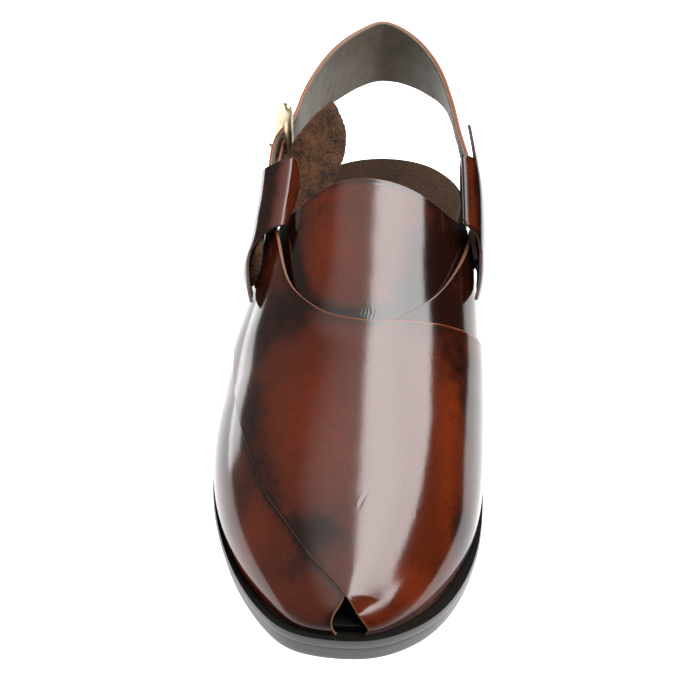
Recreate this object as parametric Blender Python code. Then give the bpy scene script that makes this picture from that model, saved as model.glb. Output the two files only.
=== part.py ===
"""A peshawari chappal for the right foot: two crossing leather panels on a heeled sole, a tongue,
a folded loop on each side, and a heel strap with its buckle.

Lengths are in millimetres and become metres when a mesh is made.
X runs to the medial side (the big toe's side), Y to the heel and Z up. The floor is z = 0.
The panels and the tongue are skins on one form of the foot, last_point(y, s): y is the station
along the shoe, and s runs from -1 at the lateral edge of the sole, over the crown at 0, to +1.
"""

import math

import bmesh
import bpy
import numpy as np

MM = 0.001
# Moves the whole shoe sideways, so that its box is centred on x = 0.
CENTRE_X = -1.2

# Driving sizes of the shoe, EU 43.
LENGTH = 290.0
SEAT_HEIGHT = 30.0
TREAD = 9.0
SHANK_THICK = 6.0
TOE_SPRING = 6.5
GAP = 0.3
LEATHER = 1.7
INSOLE_THICK = 3.0

# Side of the outsole from the floor up: how far each ring stands in, and its share of the
# thickness. The heel block's rings are given in the same way.
OUTSOLE_RINGS = (
    (2.2, 0.0), (1.3, 0.10), (0.9, 0.58), (1.4, 0.63), (0.9, 0.68), (0.0, 0.74), (0.0, 0.94), (0.7, 1.0),
)
HEEL_RINGS = ((3.4, 0.0), (2.6, 0.04), (1.6, 1.0))
HEEL_BREAST = 66.0
BREAST_CURVE = 5.0

# Insole: how far its edge stands in at the heel, how far it clears the upper, its rounded edge.
INSOLE_INSET = 2.2
INSOLE_CLEAR = 1.3
INSOLE_ROUND = 0.6

# Tongue: its thickness and front station, its half-width at the front as a place, its rear edge
# as (place, station), and how far its lateral and medial sides fall away from the panels.
TONGUE_THICK = 2.0
TONGUE_FRONT = -38.0
TONGUE_FRONT_PLACE = 0.44
TONGUE_REAR = (
    (-0.68, 47.0), (-0.54, 44.5), (-0.42, 41.4), (-0.28, 41.2), (-0.08, 43.8), (0.05, 43.0),
    (0.24, 39.8), (0.34, 38.6), (0.46, 39.6), (0.56, 43.5), (0.66, 50.5), (0.78, 57.0),
)
TONGUE_FALL = (2.4, 1.0)

# Points along and across each kind of piece.
OUTSOLE_POINTS = 88
INSOLE_POINTS = 72
HEEL_POINTS = 41
BREAST_POINTS = 9
PANEL_GRID = (47, 13)
TONGUE_GRID = (13, 19)
FOLD_GRID = (13, 11)
STRAP_GRID = (53, 4)
GUARD_GRID = (17, 6)
BUCKLE_POINTS = 40
HOOK_POINTS = 12
SHAFT_POINTS = 5
TUBE_SIDES = 8
HOLE_SIDES = 12

# Outline of the sole: distance back from the toe, lateral edge x, medial edge x.
OUTLINE = (
    (0.0, 1.5, 1.5),
    (5.5, -19.6, 17.6),
    (20.0, -31.9, 31.4),
    (34.5, -39.3, 39.9),
    (60.0, -48.8, 49.6),
    (90.0, -54.1, 53.4),
    (115.0, -54.0, 53.4),
    (145.0, -49.2, 50.0),
    (175.0, -42.0, 45.6),
    (205.0, -34.0, 44.6),
    (232.0, -26.8, 47.6),
    (254.0, -22.8, 50.4),
    (272.0, -17.6, 46.4),
    (285.0, -5.4, 34.2),
    (290.0, 14.4, 14.4),
)

# The last: distance back from the toe, crown x, crown height over the sole,
# length of the crown's handle, side fullness, how far the lateral and medial sides swell.
LAST = (
    (0.0, 1.5, 0.0, 0.0, 0.50, 0.0, 0.0),
    (11.0, 0.5, 10.0, 11.0, 0.52, 0.5, 0.5),
    (25.0, 0.5, 18.5, 17.0, 0.55, 1.5, 1.5),
    (42.0, 1.0, 26.0, 22.0, 0.57, 2.5, 2.5),
    (62.0, 2.0, 33.5, 26.0, 0.58, 3.5, 3.5),
    (90.0, 3.5, 43.0, 29.0, 0.58, 4.5, 6.0),
    (115.0, 5.0, 50.5, 31.0, 0.58, 5.4, 9.5),
    (130.0, 6.0, 55.0, 32.0, 0.58, 5.2, 12.0),
    (145.0, 7.0, 60.0, 33.0, 0.58, 5.0, 14.0),
    (165.0, 8.0, 65.5, 35.0, 0.58, 3.6, 17.4),
    (190.0, 9.0, 70.5, 37.0, 0.58, 3.0, 17.7),
    (215.0, 10.0, 76.0, 38.0, 0.58, 3.0, 16.2),
)


def smooth(t):
    """Rises from 0 to 1 with level ends as t goes from 0 to 1."""
    t = np.clip(t, 0.0, 1.0)
    return t * t * (3.0 - 2.0 * t)


def spline(knots, values, at):
    """Natural cubic spline through rows of values, read at an array of places."""
    x = np.asarray(knots, float)
    rows = np.asarray(values, float)
    at = np.asarray(at, float)
    flat = rows.reshape(len(x), -1)
    h = np.diff(x)[:, None]
    rise = np.diff(flat, axis=0) / h
    bend = np.zeros_like(flat)
    inner = h[1:-1, 0]
    grid = np.diag(2.0 * (h[:-1, 0] + h[1:, 0])) + np.diag(inner, 1) + np.diag(inner, -1)
    bend[1:-1] = np.linalg.solve(grid, 6.0 * np.diff(rise, axis=0))
    i = np.clip(np.searchsorted(x, at.ravel()) - 1, 0, len(x) - 2)
    step = h[i]
    after = (at.ravel() - x[i])[:, None]
    before = step - after
    out = (bend[i] * before**3 + bend[i + 1] * after**3) / (6.0 * step)
    out += (flat[i] / step - bend[i] * step / 6.0) * before
    out += (flat[i + 1] / step - bend[i + 1] * step / 6.0) * after
    return out.reshape(at.shape + rows.shape[1:])


def turn_of(y):
    """Angle that runs from 0 at the toe to pi at the heel, so that both ends come out round."""
    return np.arccos(np.clip(-2.0 * np.asarray(y, float) / LENGTH, -1.0, 1.0))


def outline_point(turn, inset=0.0):
    """Point of the sole's outline at an angle: negative on the lateral side, positive medial."""
    back = np.array([row[0] for row in OUTLINE])
    angle = turn_of(back - LENGTH / 2)
    lateral = np.array([row[1] for row in OUTLINE])
    medial = np.array([row[2] for row in OUTLINE])
    ring = np.concatenate([-angle[:0:-1], angle[:-1]])
    edge = np.concatenate([lateral[:0:-1], medial[:-1]])
    knots = np.concatenate([ring - 2 * np.pi, ring, ring + 2 * np.pi])
    edges = np.tile(edge, 3)
    turn = np.asarray(turn, float)

    def place(a):
        return np.stack([spline(knots, edges, a), -LENGTH / 2 * np.cos(a)], axis=-1)

    here = place(turn)
    along = place(turn + 1e-3) - place(turn - 1e-3)
    normal = np.stack([along[..., 1], -along[..., 0]], axis=-1)
    normal /= np.linalg.norm(normal, axis=-1, keepdims=True)
    return here - normal * np.asarray(inset)[..., None]


def sole_top(y):
    """Height of the sole's upper face: toe spring, flat tread, shank rise and level heel seat."""
    spring = TOE_SPRING * np.clip((-87.0 - y) / 58.0, 0.0, 1.0) ** 2
    return TREAD + spring + (SEAT_HEIGHT - TREAD) * smooth((y + 24.0) / 100.0)


def sole_bottom(y):
    """Height of the outsole's lower face, thinner under the shank and the heel seat."""
    return sole_top(y) - TREAD + (TREAD - SHANK_THICK) * smooth((y + 24.0) / 60.0)


def feather_inset(turn):
    """How far the foot of the upper stands in from the sole's edge, more around the toe."""
    return 0.9 + LEATHER + 3.6 * (1.0 - smooth(np.abs(turn) / 1.25))


def last_point(y, s, lift=0.0):
    """Point on the last at station y and place s around the section, lifted along its normal.

    Each section is two cubic arcs that meet level at the crown. An arc starts upright at the
    sole's edge, swells out by its table value and ends on the crown's handle.
    """

    def place(y, s):
        turn = turn_of(y)
        knots = turn_of(np.array([row[0] for row in LAST]) - LENGTH / 2)
        x, height, handle, full, out_lateral, out_medial = np.moveaxis(
            spline(knots, [row[1:] for row in LAST], turn), -1, 0
        )
        side = np.sign(s + 1e-12)
        foot = outline_point(turn * side, feather_inset(turn))
        base = sole_top(foot[..., 1]) + GAP
        swell = np.where(side > 0, out_medial, out_lateral) * side
        t = 1.0 - np.abs(s)
        w0 = (1 - t) ** 3
        w1 = 3 * (1 - t) ** 2 * t
        w2 = 3 * (1 - t) * t * t
        w3 = t**3
        px = w0 * foot[..., 0] + w1 * (foot[..., 0] + swell) + w2 * (x + side * handle) + w3 * x
        crown_y = y * (1.0 - 2.0 * feather_inset(turn) / LENGTH)
        py = (w0 + w1) * foot[..., 1] + (w2 + w3) * crown_y
        crown = sole_top(y) + GAP + height
        pz = w0 * base + w1 * (base + full * height) + (w2 + w3) * crown
        return np.stack([px, py, pz], axis=-1)

    y, s = np.broadcast_arrays(np.asarray(y, float), np.asarray(s, float))
    here = place(y, s)
    across = place(y, np.clip(s + 1e-3, -1, 1)) - place(y, np.clip(s - 1e-3, -1, 1))
    along = place(y + 0.05, s) - place(y - 0.05, s)
    normal = np.cross(across, along)
    normal /= np.linalg.norm(normal, axis=-1, keepdims=True)
    return here + normal * np.asarray(lift, float)[..., None]


# Panel edges on the last: station y and place s.
# Over panel: medial forefoot, across the vamp, to the lateral side.
OVER_FRONT = (
    (-144.4, 1.0), (-143.3, 0.45), (-141.6, 0.18), (-138.7, 0.05), (-133.8, -0.05), (-125.3, -0.18),
    (-113.8, -0.30), (-98.2, -0.39), (-85.0, -0.46), (-66.0, -0.515), (-46.3, -0.57),
    (-17.8, -0.64), (-3.0, -0.70), (12.0, -0.82), (24.0, -1.0),
)
OVER_REAR = (
    (9.0, 1.0), (6.0, 0.84), (1.9, 0.71), (-2.4, 0.59), (-7.3, 0.43), (-10.4, 0.29), (-12.9, 0.14),
    (-14.1, 0.02), (-12.5, -0.07), (-8.5, -0.17), (-1.5, -0.26), (12.0, -0.37), (27.6, -0.44),
    (40.0, -0.505), (50.0, -0.58), (55.0, -0.70), (53.0, -0.86), (48.0, -1.0),
)
# Under panel: lateral forefoot, under the other, to the medial side.
UNDER_FRONT = (
    (-144.4, -1.0), (-143.3, -0.55), (-139.3, -0.23), (-133.8, -0.06), (-120.0, 0.06), (-100.0, 0.16),
    (-70.0, 0.28), (-40.0, 0.40), (-15.0, 0.55), (5.0, 0.75), (20.0, 1.0),
)
UNDER_REAR = (
    (9.0, -1.0), (4.0, -0.80), (-4.0, -0.55), (-12.0, -0.30), (-17.0, -0.10), (-15.8, 0.05),
    (-11.6, 0.14), (-5.2, 0.23), (3.4, 0.33), (16.3, 0.43), (32.6, 0.54), (43.0, 0.61),
    (52.0, 0.69), (56.0, 0.80), (54.0, 0.90), (49.0, 1.0),
)
# A place counts this much against a turn angle when points are spread along an edge, and the
# over panel's inner face bites this far into the under panel, so that the two join.
S_SPAN = 1.2
PANEL_BITE = 0.6


def edge_curve(rows, count):
    """Curve through (station, place) rows, as count even steps in turn angle and place."""
    rows = np.array(rows)
    flat = np.stack([turn_of(rows[:, 0]), S_SPAN * rows[:, 1]], axis=-1)
    step = np.linalg.norm(np.diff(flat, axis=0), axis=-1)
    length = np.concatenate([[0.0], np.cumsum(step)])
    curve = spline(length, flat, np.linspace(0.0, length[-1], count))
    return np.stack([curve[:, 0], np.clip(curve[:, 1] / S_SPAN, -1.0, 1.0)], axis=-1)


def panel_field(front, rear, along, across):
    """Stations and places of a grid that runs between a panel's front and rear edges."""
    a = edge_curve(front, along)[:, None]
    b = edge_curve(rear, along)[:, None]
    q = np.linspace(0.0, 1.0, across)[None, :, None]
    field = a + (b - a) * q
    return -LENGTH / 2 * np.cos(field[..., 0]), field[..., 1]


def over_under(y, s):
    """1 where the under panel lies beneath the over panel, easing to 0 past its hidden edges."""
    front = np.array(UNDER_FRONT)
    edge_s = np.interp(y, front[:, 0], front[:, 1])
    rear = np.array(UNDER_REAR)
    edge_y = np.interp(s, rear[:, 1], rear[:, 0])
    return smooth(1.0 + (edge_s - s) / 0.45) * smooth(1.0 + (edge_y - y) / 26.0)


def on_sole(points):
    """Keeps the foot of a skin a hair above the sole."""
    points[..., 2] = np.maximum(points[..., 2], sole_top(points[..., 1]) + GAP)
    return points


# Heel strap, outer face: upper edge x, y, z and lower edge x, y, z, from the lateral end round
# the heel to the medial end. It narrows to pass through the buckle.
STRAP = (
    (-38.1, 24.8, 67.0, -40.4, 30.2, 56.8),
    (-36.2, 38.0, 72.6, -38.1, 42.5, 62.4),
    (-34.8, 49.0, 78.4, -36.2, 54.0, 66.0),
    (-33.4, 60.0, 84.6, -34.4, 64.0, 71.5),
    (-32.1, 72.0, 90.0, -32.8, 72.5, 76.4),
    (-30.9, 76.0, 91.6, -31.8, 76.5, 77.9),
    (-28.6, 80.0, 93.0, -29.8, 80.5, 78.1),
    (-25.4, 84.0, 94.4, -27.0, 85.0, 77.9),
    (-23.0, 88.0, 95.8, -25.0, 89.5, 77.4),
    (-20.9, 94.0, 97.8, -23.0, 96.0, 76.8),
    (-18.9, 100.0, 99.6, -21.3, 102.0, 76.2),
    (-15.2, 108.0, 102.0, -18.5, 109.5, 75.8),
    (-9.7, 118.0, 104.4, -13.3, 119.0, 75.8),
    (-0.9, 129.5, 106.2, -4.4, 129.0, 76.3),
    (6.0, 136.0, 106.6, 3.6, 136.0, 76.8),
    (14.4, 140.6, 106.7, 14.4, 140.4, 77.0),
    (21.5, 138.0, 106.0, 24.4, 138.0, 77.0),
    (28.5, 132.5, 104.2, 32.8, 132.0, 76.9),
    (34.5, 124.0, 102.2, 40.0, 124.0, 76.8),
    (39.5, 112.0, 100.2, 44.8, 112.0, 76.6),
    (42.6, 99.0, 98.4, 46.6, 101.0, 75.8),
    (44.5, 88.0, 97.2, 48.2, 91.0, 74.6),
    (45.9, 78.0, 96.0, 49.4, 82.0, 72.8),
    (47.9, 68.5, 93.8, 50.6, 74.0, 70.9),
    (50.1, 60.5, 89.4, 52.1, 66.5, 68.6),
    (51.0, 52.0, 84.0, 53.1, 59.0, 65.8),
    (51.6, 38.5, 75.9, 54.0, 46.0, 60.2),
)
STRAP_THICK = 2.2

# Folded loops. A fold's crest starts at (y, z) and drops toward the toe at FOLD_SLOPE. Its section
# is a strip that turns as it leaves the crest, walked in small steps both ways from it. The tuck
# comes in over TUCK_OVER, and FOLD_EASE packs the grid's points near the crest.
# Columns of a section: distance from the crest, angle down from level in degrees.
# Columns of a fold: distance along the crest, x of the crest, size of the section, how many
# degrees the outer flap tucks in, where that starts, length down to the flap's lower edge.
# Columns of a fold's edge: distance along the crest, distance from the crest to where it starts.
FOLD_SLOPE = math.radians(30)
FOLD_THICK = 1.4
FOLD_EASE = 1.5
FOLD_WALK = np.arange(-18.0, 44.0, 0.25)
TUCK_OVER = 5.0
LATERAL_TURNS = ((-1.2, -48.0), (0.4, 8.0), (8.0, 25.0), (11.6, 75.0), (16.0, 79.0), (24.0, 81.0))
LATERAL_FOLD_START = (58.5, 94.0)
LATERAL_FOLD = (
    (0.0, -23.8, 1.17, 0.0, 24.0, 28.0),
    (5.0, -24.2, 1.17, 4.0, 24.0, 32.0),
    (10.0, -24.8, 1.16, 10.0, 23.0, 34.0),
    (15.0, -25.4, 1.15, 16.0, 22.0, 34.0),
    (22.0, -26.5, 1.15, 22.0, 21.5, 33.0),
    (30.0, -27.6, 1.14, 30.0, 21.5, 32.2),
    (36.0, -29.2, 1.11, 31.0, 21.0, 30.5),
    (44.0, -31.8, 1.05, 33.0, 18.8, 27.8),
    (52.0, -32.3, 0.96, 28.0, 12.0, 20.8),
    (58.0, -32.3, 0.88, 26.0, 9.0, 15.5),
    (62.0, -31.7, 0.84, 8.0, 8.0, 10.0),
)
LATERAL_FOLD_EDGE = (
    (0.0, -2.6), (5.0, -5.2), (11.0, -6.6), (17.0, -6.2), (23.0, -4.8), (28.8, -3.2), (29.4, -1.6),
    (29.8, 0.0), (30.2, 1.4), (30.8, 3.6), (34.0, 8.0), (40.0, 11.0), (62.0, 9.4),
)
MEDIAL_TURNS = ((-1.2, -80.0), (-0.3, -16.0), (0.8, 30.0), (6.8, 44.0), (9.0, 72.0), (20.0, 84.0))
MEDIAL_FOLD_START = (58.0, 95.1)
MEDIAL_FOLD = (
    (-18.5, 45.4, 0.62, 0.0, 14.0, 9.0),
    (-10.0, 46.0, 0.80, 0.0, 18.0, 20.0),
    (0.0, 46.7, 0.98, 2.0, 22.0, 28.0),
    (10.0, 47.1, 1.08, 8.0, 17.0, 32.0),
    (20.0, 47.3, 1.09, 10.0, 17.0, 33.0),
    (29.0, 47.4, 1.08, 18.0, 18.0, 31.0),
    (36.0, 47.5, 1.05, 20.0, 12.0, 26.5),
    (44.0, 47.6, 1.02, 22.0, 10.5, 22.0),
    (54.0, 47.4, 0.92, 25.0, 9.0, 17.0),
    (61.0, 46.6, 0.78, 12.0, 7.0, 8.5),
)
MEDIAL_FOLD_EDGE = (
    (-18.5, 7.4), (-2.0, 6.6), (-1.3, 3.0), (-0.7, 0.0), (0.0, -3.5), (1.0, -5.0), (12.0, -6.5),
    (28.5, -6.5), (29.4, -3.0), (29.9, -1.0), (30.6, 1.5), (34.0, 6.0), (40.0, 8.4), (61.0, 7.2),
)

# Suede guard behind the buckle, face toward the foot: upper edge x, y, z, lower edge x, y, z.
GUARD = (
    (-26.9, 50.0, 75.6, -18.5, 47.0, 66.0),
    (-26.1, 58.0, 81.4, -14.1, 53.0, 68.0),
    (-25.6, 66.5, 87.8, -9.6, 61.0, 71.3),
    (-22.6, 70.5, 90.4, -6.0, 69.0, 75.0),
    (-18.7, 74.5, 93.0, -3.1, 76.0, 77.9),
    (-14.5, 79.0, 94.9, -1.6, 80.5, 79.8),
    (-10.4, 85.0, 97.9, -1.0, 86.0, 84.8),
    (-8.2, 89.5, 98.8, -2.6, 90.6, 90.5),
    (-6.9, 92.0, 98.9, -5.4, 92.3, 96.8),
)
GUARD_THICK = 1.6

# Buckle: the bar on the foot's side at (x, y), the far bar outside the strap, and the frame's
# lowest and highest middle z. The far bar is shorter, and leans out from top to bottom.
NEAR_BAR = (-24.85, 76.5)
FAR_BAR = (-29.6, 84.8)
BUCKLE_LOW = 75.7
BUCKLE_TOP = 106.5
FAR_DROP = 6.0
FAR_LEAN = 1.6
BAR_RADIUS = 1.75
# How square the frame's corners are: 1 would make it an ellipse.
FRAME_SQUARE = 0.42

# Prong: its hook round the near bar in degrees, and how far it rests past the far bar.
PRONG_RADIUS = 0.8
PRONG_Z = 82.0
PRONG_HOOK = (200.0, -85.0)
PRONG_PAST = 2.5
HOLE_RADIUS = 1.4

# Billet: the leather loop that holds the near bar, with its bend round the bar in degrees.
BILLET_THICK = 1.1
BILLET_BEND = (-14.0, 170.0)
BILLET_Z = (83.8, 88.6)
# Ends of the billet's two legs at x, y, from inside the fold to near the bar.
BILLET_INNER_LEG = ((-28.1, 58.0), (-27.9, 63.0), (-26.2, 69.0))
BILLET_OUTER_LEG = ((-28.9, 69.0), (-29.7, 63.0), (-29.9, 58.0))


def fold_grid(start, table, turns, edge, side, rows, cols, depth=0.0):
    """Face of a folded loop at a depth under its outer face.

    A section's points are the running sums of cos and sin of its angle, out from the crest and
    down. The grid runs from the front or inner edge to the flap's lower edge, so past the mouth
    only the pointed flap is left.
    """
    at = np.array([row[0] for row in table])
    d = np.sort(np.concatenate([np.linspace(at[0], at[-1], rows), [e[0] for e in edge[1:-1]]]))
    columns = spline(at, [row[1:] for row in table], d)
    crest, size, tuck, tuck_from, low = np.moveaxis(columns, -1, 0)[..., None]
    first = np.interp(d, [e[0] for e in edge], [e[1] for e in edge])[:, None]
    w = first + (low - first) * np.linspace(0.0, 1.0, cols) ** FOLD_EASE
    angle = np.interp(FOLD_WALK / size, [t[0] for t in turns], [t[1] for t in turns])
    angle = np.radians(angle + tuck * smooth((FOLD_WALK - tuck_from) / TUCK_OVER))
    step = FOLD_WALK[1] - FOLD_WALK[0]
    at_crest = np.searchsorted(FOLD_WALK, 0.0)
    place = (w - FOLD_WALK[0]) / step
    before = np.floor(place).astype(int)
    part = place - before

    def read(values):
        values = np.take_along_axis(values, before, 1), np.take_along_axis(values, before + 1, 1)
        return values[0] * (1.0 - part) + values[1] * part

    def walk(slope):
        total = np.cumsum(slope, axis=1) * step - 0.5 * step * slope
        return read(total - total[:, at_crest : at_crest + 1])

    turn = read(angle)
    out = walk(np.cos(angle)) - depth * np.sin(turn)
    drop = walk(np.sin(angle)) + depth * np.cos(turn)
    x = crest + side * out
    y = start[0] - d[:, None] * math.cos(FOLD_SLOPE) + drop * math.sin(FOLD_SLOPE)
    z = start[1] - d[:, None] * math.sin(FOLD_SLOPE) - drop * math.cos(FOLD_SLOPE)
    return np.stack([x, y, z], axis=-1)


def ruled_grid(table, rows, cols):
    """Grid ruled between two edge curves, both splined along their length."""
    table = np.array(table)
    step = np.linalg.norm(np.diff(table[:, :3], axis=0), axis=-1)
    length = np.concatenate([[0.0], np.cumsum(step)])
    edges = spline(length, table, np.linspace(0.0, length[-1], rows))
    q = np.linspace(0.0, 1.0, cols)[None, :, None]
    return edges[:, None, :3] * (1.0 - q) + edges[:, None, 3:] * q


def grid_normals(grid):
    """Unit normals of a grid."""
    normal = np.cross(np.gradient(grid, axis=0), np.gradient(grid, axis=1))
    return normal / np.linalg.norm(normal, axis=-1, keepdims=True)


def closed_sheet(outer, inner):
    """Vertices and faces of the solid between two grids of the same shape."""
    rows, cols = outer.shape[:2]
    index = np.arange(rows * cols).reshape(rows, cols)
    top = np.stack([index[:-1, :-1], index[:-1, 1:], index[1:, 1:], index[1:, :-1]], axis=-1)
    top = top.reshape(-1, 4)
    bottom = top[:, ::-1] + rows * cols
    rim = np.concatenate([index[0, :-1], index[:-1, -1], index[-1, :0:-1], index[:0:-1, 0]])
    after = np.roll(rim, -1)
    wall = np.stack([after, rim, rim + rows * cols, after + rows * cols], axis=-1)
    verts = np.concatenate([outer.reshape(-1, 3), inner.reshape(-1, 3)])
    return verts, [list(f) for f in np.concatenate([top, bottom, wall])]


def ring_stack(rings, top_cap, bottom_cap):
    """Vertices and faces of rings stacked from the bottom up, closed by the two given caps."""
    count = len(rings[0])
    faces = [list(f) for f in bottom_cap]
    here = np.arange(count)
    after = np.roll(here, -1)
    for level in range(len(rings) - 1):
        low = level * count
        high = low + count
        wall = np.stack([here + low, after + low, after + high, here + high], axis=-1)
        faces += [list(f) for f in wall]
    faces += [[i + (len(rings) - 1) * count for i in f] for f in top_cap]
    return np.concatenate(rings), faces


def strip_cap(count):
    """Cap of a ring whose first point is the toe: a strip that links each point to its pair."""
    half = count // 2
    faces = [[0, 1, count - 1]]
    faces += [[k, k + 1, count - k - 1, count - k] for k in range(1, half - 1)]
    faces.append([half - 1, half, half + 1])
    return faces


def make_object(name, verts, faces, material):
    """Makes a mesh object in metres, with its faces pointing out and round parts shaded smooth."""
    mesh = bpy.data.meshes.new(name)
    mesh.from_pydata(((np.asarray(verts, float) + (CENTRE_X, 0.0, 0.0)) * MM).tolist(), [], faces)
    bm = bmesh.new()
    bm.from_mesh(mesh)
    bmesh.ops.remove_doubles(bm, verts=bm.verts, dist=1e-7)
    bmesh.ops.recalc_face_normals(bm, faces=bm.faces)
    if bm.calc_volume(signed=True) < 0:
        bmesh.ops.reverse_faces(bm, faces=bm.faces)
    bm.to_mesh(mesh)
    bm.free()
    mesh.shade_smooth()
    mesh.set_sharp_from_angle(angle=math.radians(40))
    mesh.materials.append(material)
    thing = bpy.data.objects.new(name, mesh)
    bpy.context.scene.collection.objects.link(thing)
    return thing


def make_material(name, color, roughness, metallic=0.0):
    """A plain Principled material."""
    material = bpy.data.materials.new(name)
    material.use_nodes = True
    shader = material.node_tree.nodes["Principled BSDF"]
    shader.inputs["Base Color"].default_value = (*color, 1.0)
    shader.inputs["Roughness"].default_value = roughness
    shader.inputs["Metallic"].default_value = metallic
    return material


def ring_turns(count):
    """Turn angles once round the outline, from the toe along the medial side."""
    turns = np.arange(count) * 2 * np.pi / count
    return np.where(turns > np.pi, turns - 2 * np.pi, turns)


def outline_ring(turns, inset, level):
    """Ring of the sole's outline stood in by inset, at a share of the outsole's thickness."""
    ring = outline_point(turns, inset + 0.0 * turns)
    low = sole_bottom(ring[:, 1])
    high = sole_top(ring[:, 1])
    return np.column_stack([ring, low + (high - low) * level])


def make_outsole(material):
    """Outsole: bevelled edges and a groove round its side; flat on the floor under the tread."""
    turns = ring_turns(OUTSOLE_POINTS)
    rings = [outline_ring(turns, inset, level) for inset, level in OUTSOLE_RINGS]
    cap = strip_cap(len(turns))
    verts, faces = ring_stack(rings, cap, [f[::-1] for f in cap])
    return make_object("outsole", verts, faces, material)


def make_insole(material):
    """Insole: a thin board over the whole seat, inside the foot of the upper."""
    turns = ring_turns(INSOLE_POINTS)
    inside = feather_inset(turns) + INSOLE_CLEAR
    inset = INSOLE_INSET + (inside - INSOLE_INSET) * smooth((2.5 - np.abs(turns)) / 0.6)
    rings = []
    for more, up in ((0.0, 0.0), (0.0, INSOLE_THICK - INSOLE_ROUND), (INSOLE_ROUND, INSOLE_THICK)):
        ring = outline_point(turns, inset + more)
        rings.append(np.column_stack([ring, sole_top(ring[:, 1]) + GAP + up]))
    cap = strip_cap(len(turns))
    verts, faces = ring_stack(rings, cap, [f[::-1] for f in cap])
    return make_object("insole", verts, faces, material)


def make_heel(material):
    """Heel block: the outline behind a curved breast, drawn in toward the floor."""
    reach = turn_of(HEEL_BREAST)
    turns = np.linspace(reach, 2 * np.pi - reach, HEEL_POINTS)
    turns = np.where(turns > np.pi, turns - 2 * np.pi, turns)
    across = np.linspace(0.0, 1.0, BREAST_POINTS + 2)[1:-1, None]
    rings = []
    for inset, level in HEEL_RINGS:
        ring = outline_point(turns, inset + 0.0 * turns)
        front = ring[-1] + (ring[0] - ring[-1]) * across
        front[:, 1] += BREAST_CURVE * np.sin(np.pi * across[:, 0])
        ring = np.concatenate([ring, front])
        rings.append(np.column_stack([ring, (sole_bottom(ring[:, 1]) - GAP) * level]))
    last = HEEL_POINTS - 1
    half = last // 2
    cap = [[half, half + 1, half - 1]]
    cap += [[k, k + 1, last - 1 - k, last - k] for k in range(half - 1)]
    cap.append([0, last] + list(range(last + 1, len(rings[0]))))
    verts, faces = ring_stack(rings, cap, [f[::-1] for f in cap])
    return make_object("heel", verts, faces, material)


def panel_solid(name, front, rear, low, material):
    """A leather panel on the last: low gives the lift of its inner face."""
    y, s = panel_field(front, rear, *PANEL_GRID)
    lift = low(y, s)
    outer = on_sole(last_point(y, s, lift + LEATHER))
    inner = on_sole(last_point(y, s, lift))
    return make_object(name, *closed_sheet(outer, inner), material)


def make_upper(material):
    """Upper: two crossing panels joined where one lies on the other, with the step left to show."""
    under = panel_solid("under_panel_guide", UNDER_FRONT, UNDER_REAR, lambda y, s: 0.0 * y, material)
    under.hide_render = True
    under.display_type = "WIRE"
    step = LEATHER - PANEL_BITE
    upper = panel_solid("upper", OVER_FRONT, OVER_REAR, lambda y, s: step * over_under(y, s), material)
    union = upper.modifiers.new("joined_panels", "BOOLEAN")
    union.operation = "UNION"
    union.solver = "EXACT"
    union.object = under
    return upper


def tongue_field(along, across):
    """Stations, places and lift of the tongue's outer face."""
    rear = np.array(TONGUE_REAR)
    u = np.linspace(0.0, 1.0, along)[:, None]
    v = np.linspace(rear[0, 0], rear[-1, 0], across)[None, :]
    front = np.linspace(-TONGUE_FRONT_PLACE, TONGUE_FRONT_PLACE, across)[None, :]
    s = front + (v - front) * u
    y = TONGUE_FRONT + (spline(rear[:, 0], rear[:, 1:], v[0])[None, :, 0] - TONGUE_FRONT) * u
    fall = np.where(s < 0.0, *TONGUE_FALL) * smooth((np.abs(s) - 0.10) / 0.42) * smooth((y + 16.0) / 34.0)
    return y, s, -GAP - fall


def make_tongue(material):
    """Tongue: a dome under the throat that falls away from the panels at its sides."""
    y, s, lift = tongue_field(*TONGUE_GRID)
    outer = last_point(y, s, lift)
    inner = last_point(y, s, lift - TONGUE_THICK)
    return make_object("tongue", *closed_sheet(outer, inner), material)


def make_fold(name, start, table, turns, edge, side, material):
    """A folded leather loop with its pointed flap."""
    outer = fold_grid(start, table, turns, edge, side, *FOLD_GRID)
    inner = fold_grid(start, table, turns, edge, side, *FOLD_GRID, FOLD_THICK)
    return make_object(name, *closed_sheet(outer, inner), material)


def make_strap(material):
    """Heel strap round the back of the heel, with the hole that the prong goes through."""
    outer = ruled_grid(STRAP, *STRAP_GRID)
    inner = outer - grid_normals(outer) * STRAP_THICK
    strap = make_object("heel_strap", *closed_sheet(outer, inner), material)
    start, end = prong_path()[[-SHAFT_POINTS - 1, -1]]
    start = start - (end - start) * 0.2
    cutter = make_tube("prong_hole_guide", [start, end], HOLE_RADIUS, HOLE_SIDES, material)
    cutter.hide_render = True
    cutter.display_type = "WIRE"
    hole = strap.modifiers.new("prong_hole", "BOOLEAN")
    hole.operation = "DIFFERENCE"
    hole.solver = "EXACT"
    hole.object = cutter
    return strap


def make_guard(material):
    """Suede guard that keeps the buckle off the ankle."""
    face = ruled_grid(GUARD, *GUARD_GRID)
    back = face + grid_normals(face) * GUARD_THICK
    return make_object("buckle_guard", *closed_sheet(face, back), material)


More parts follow.
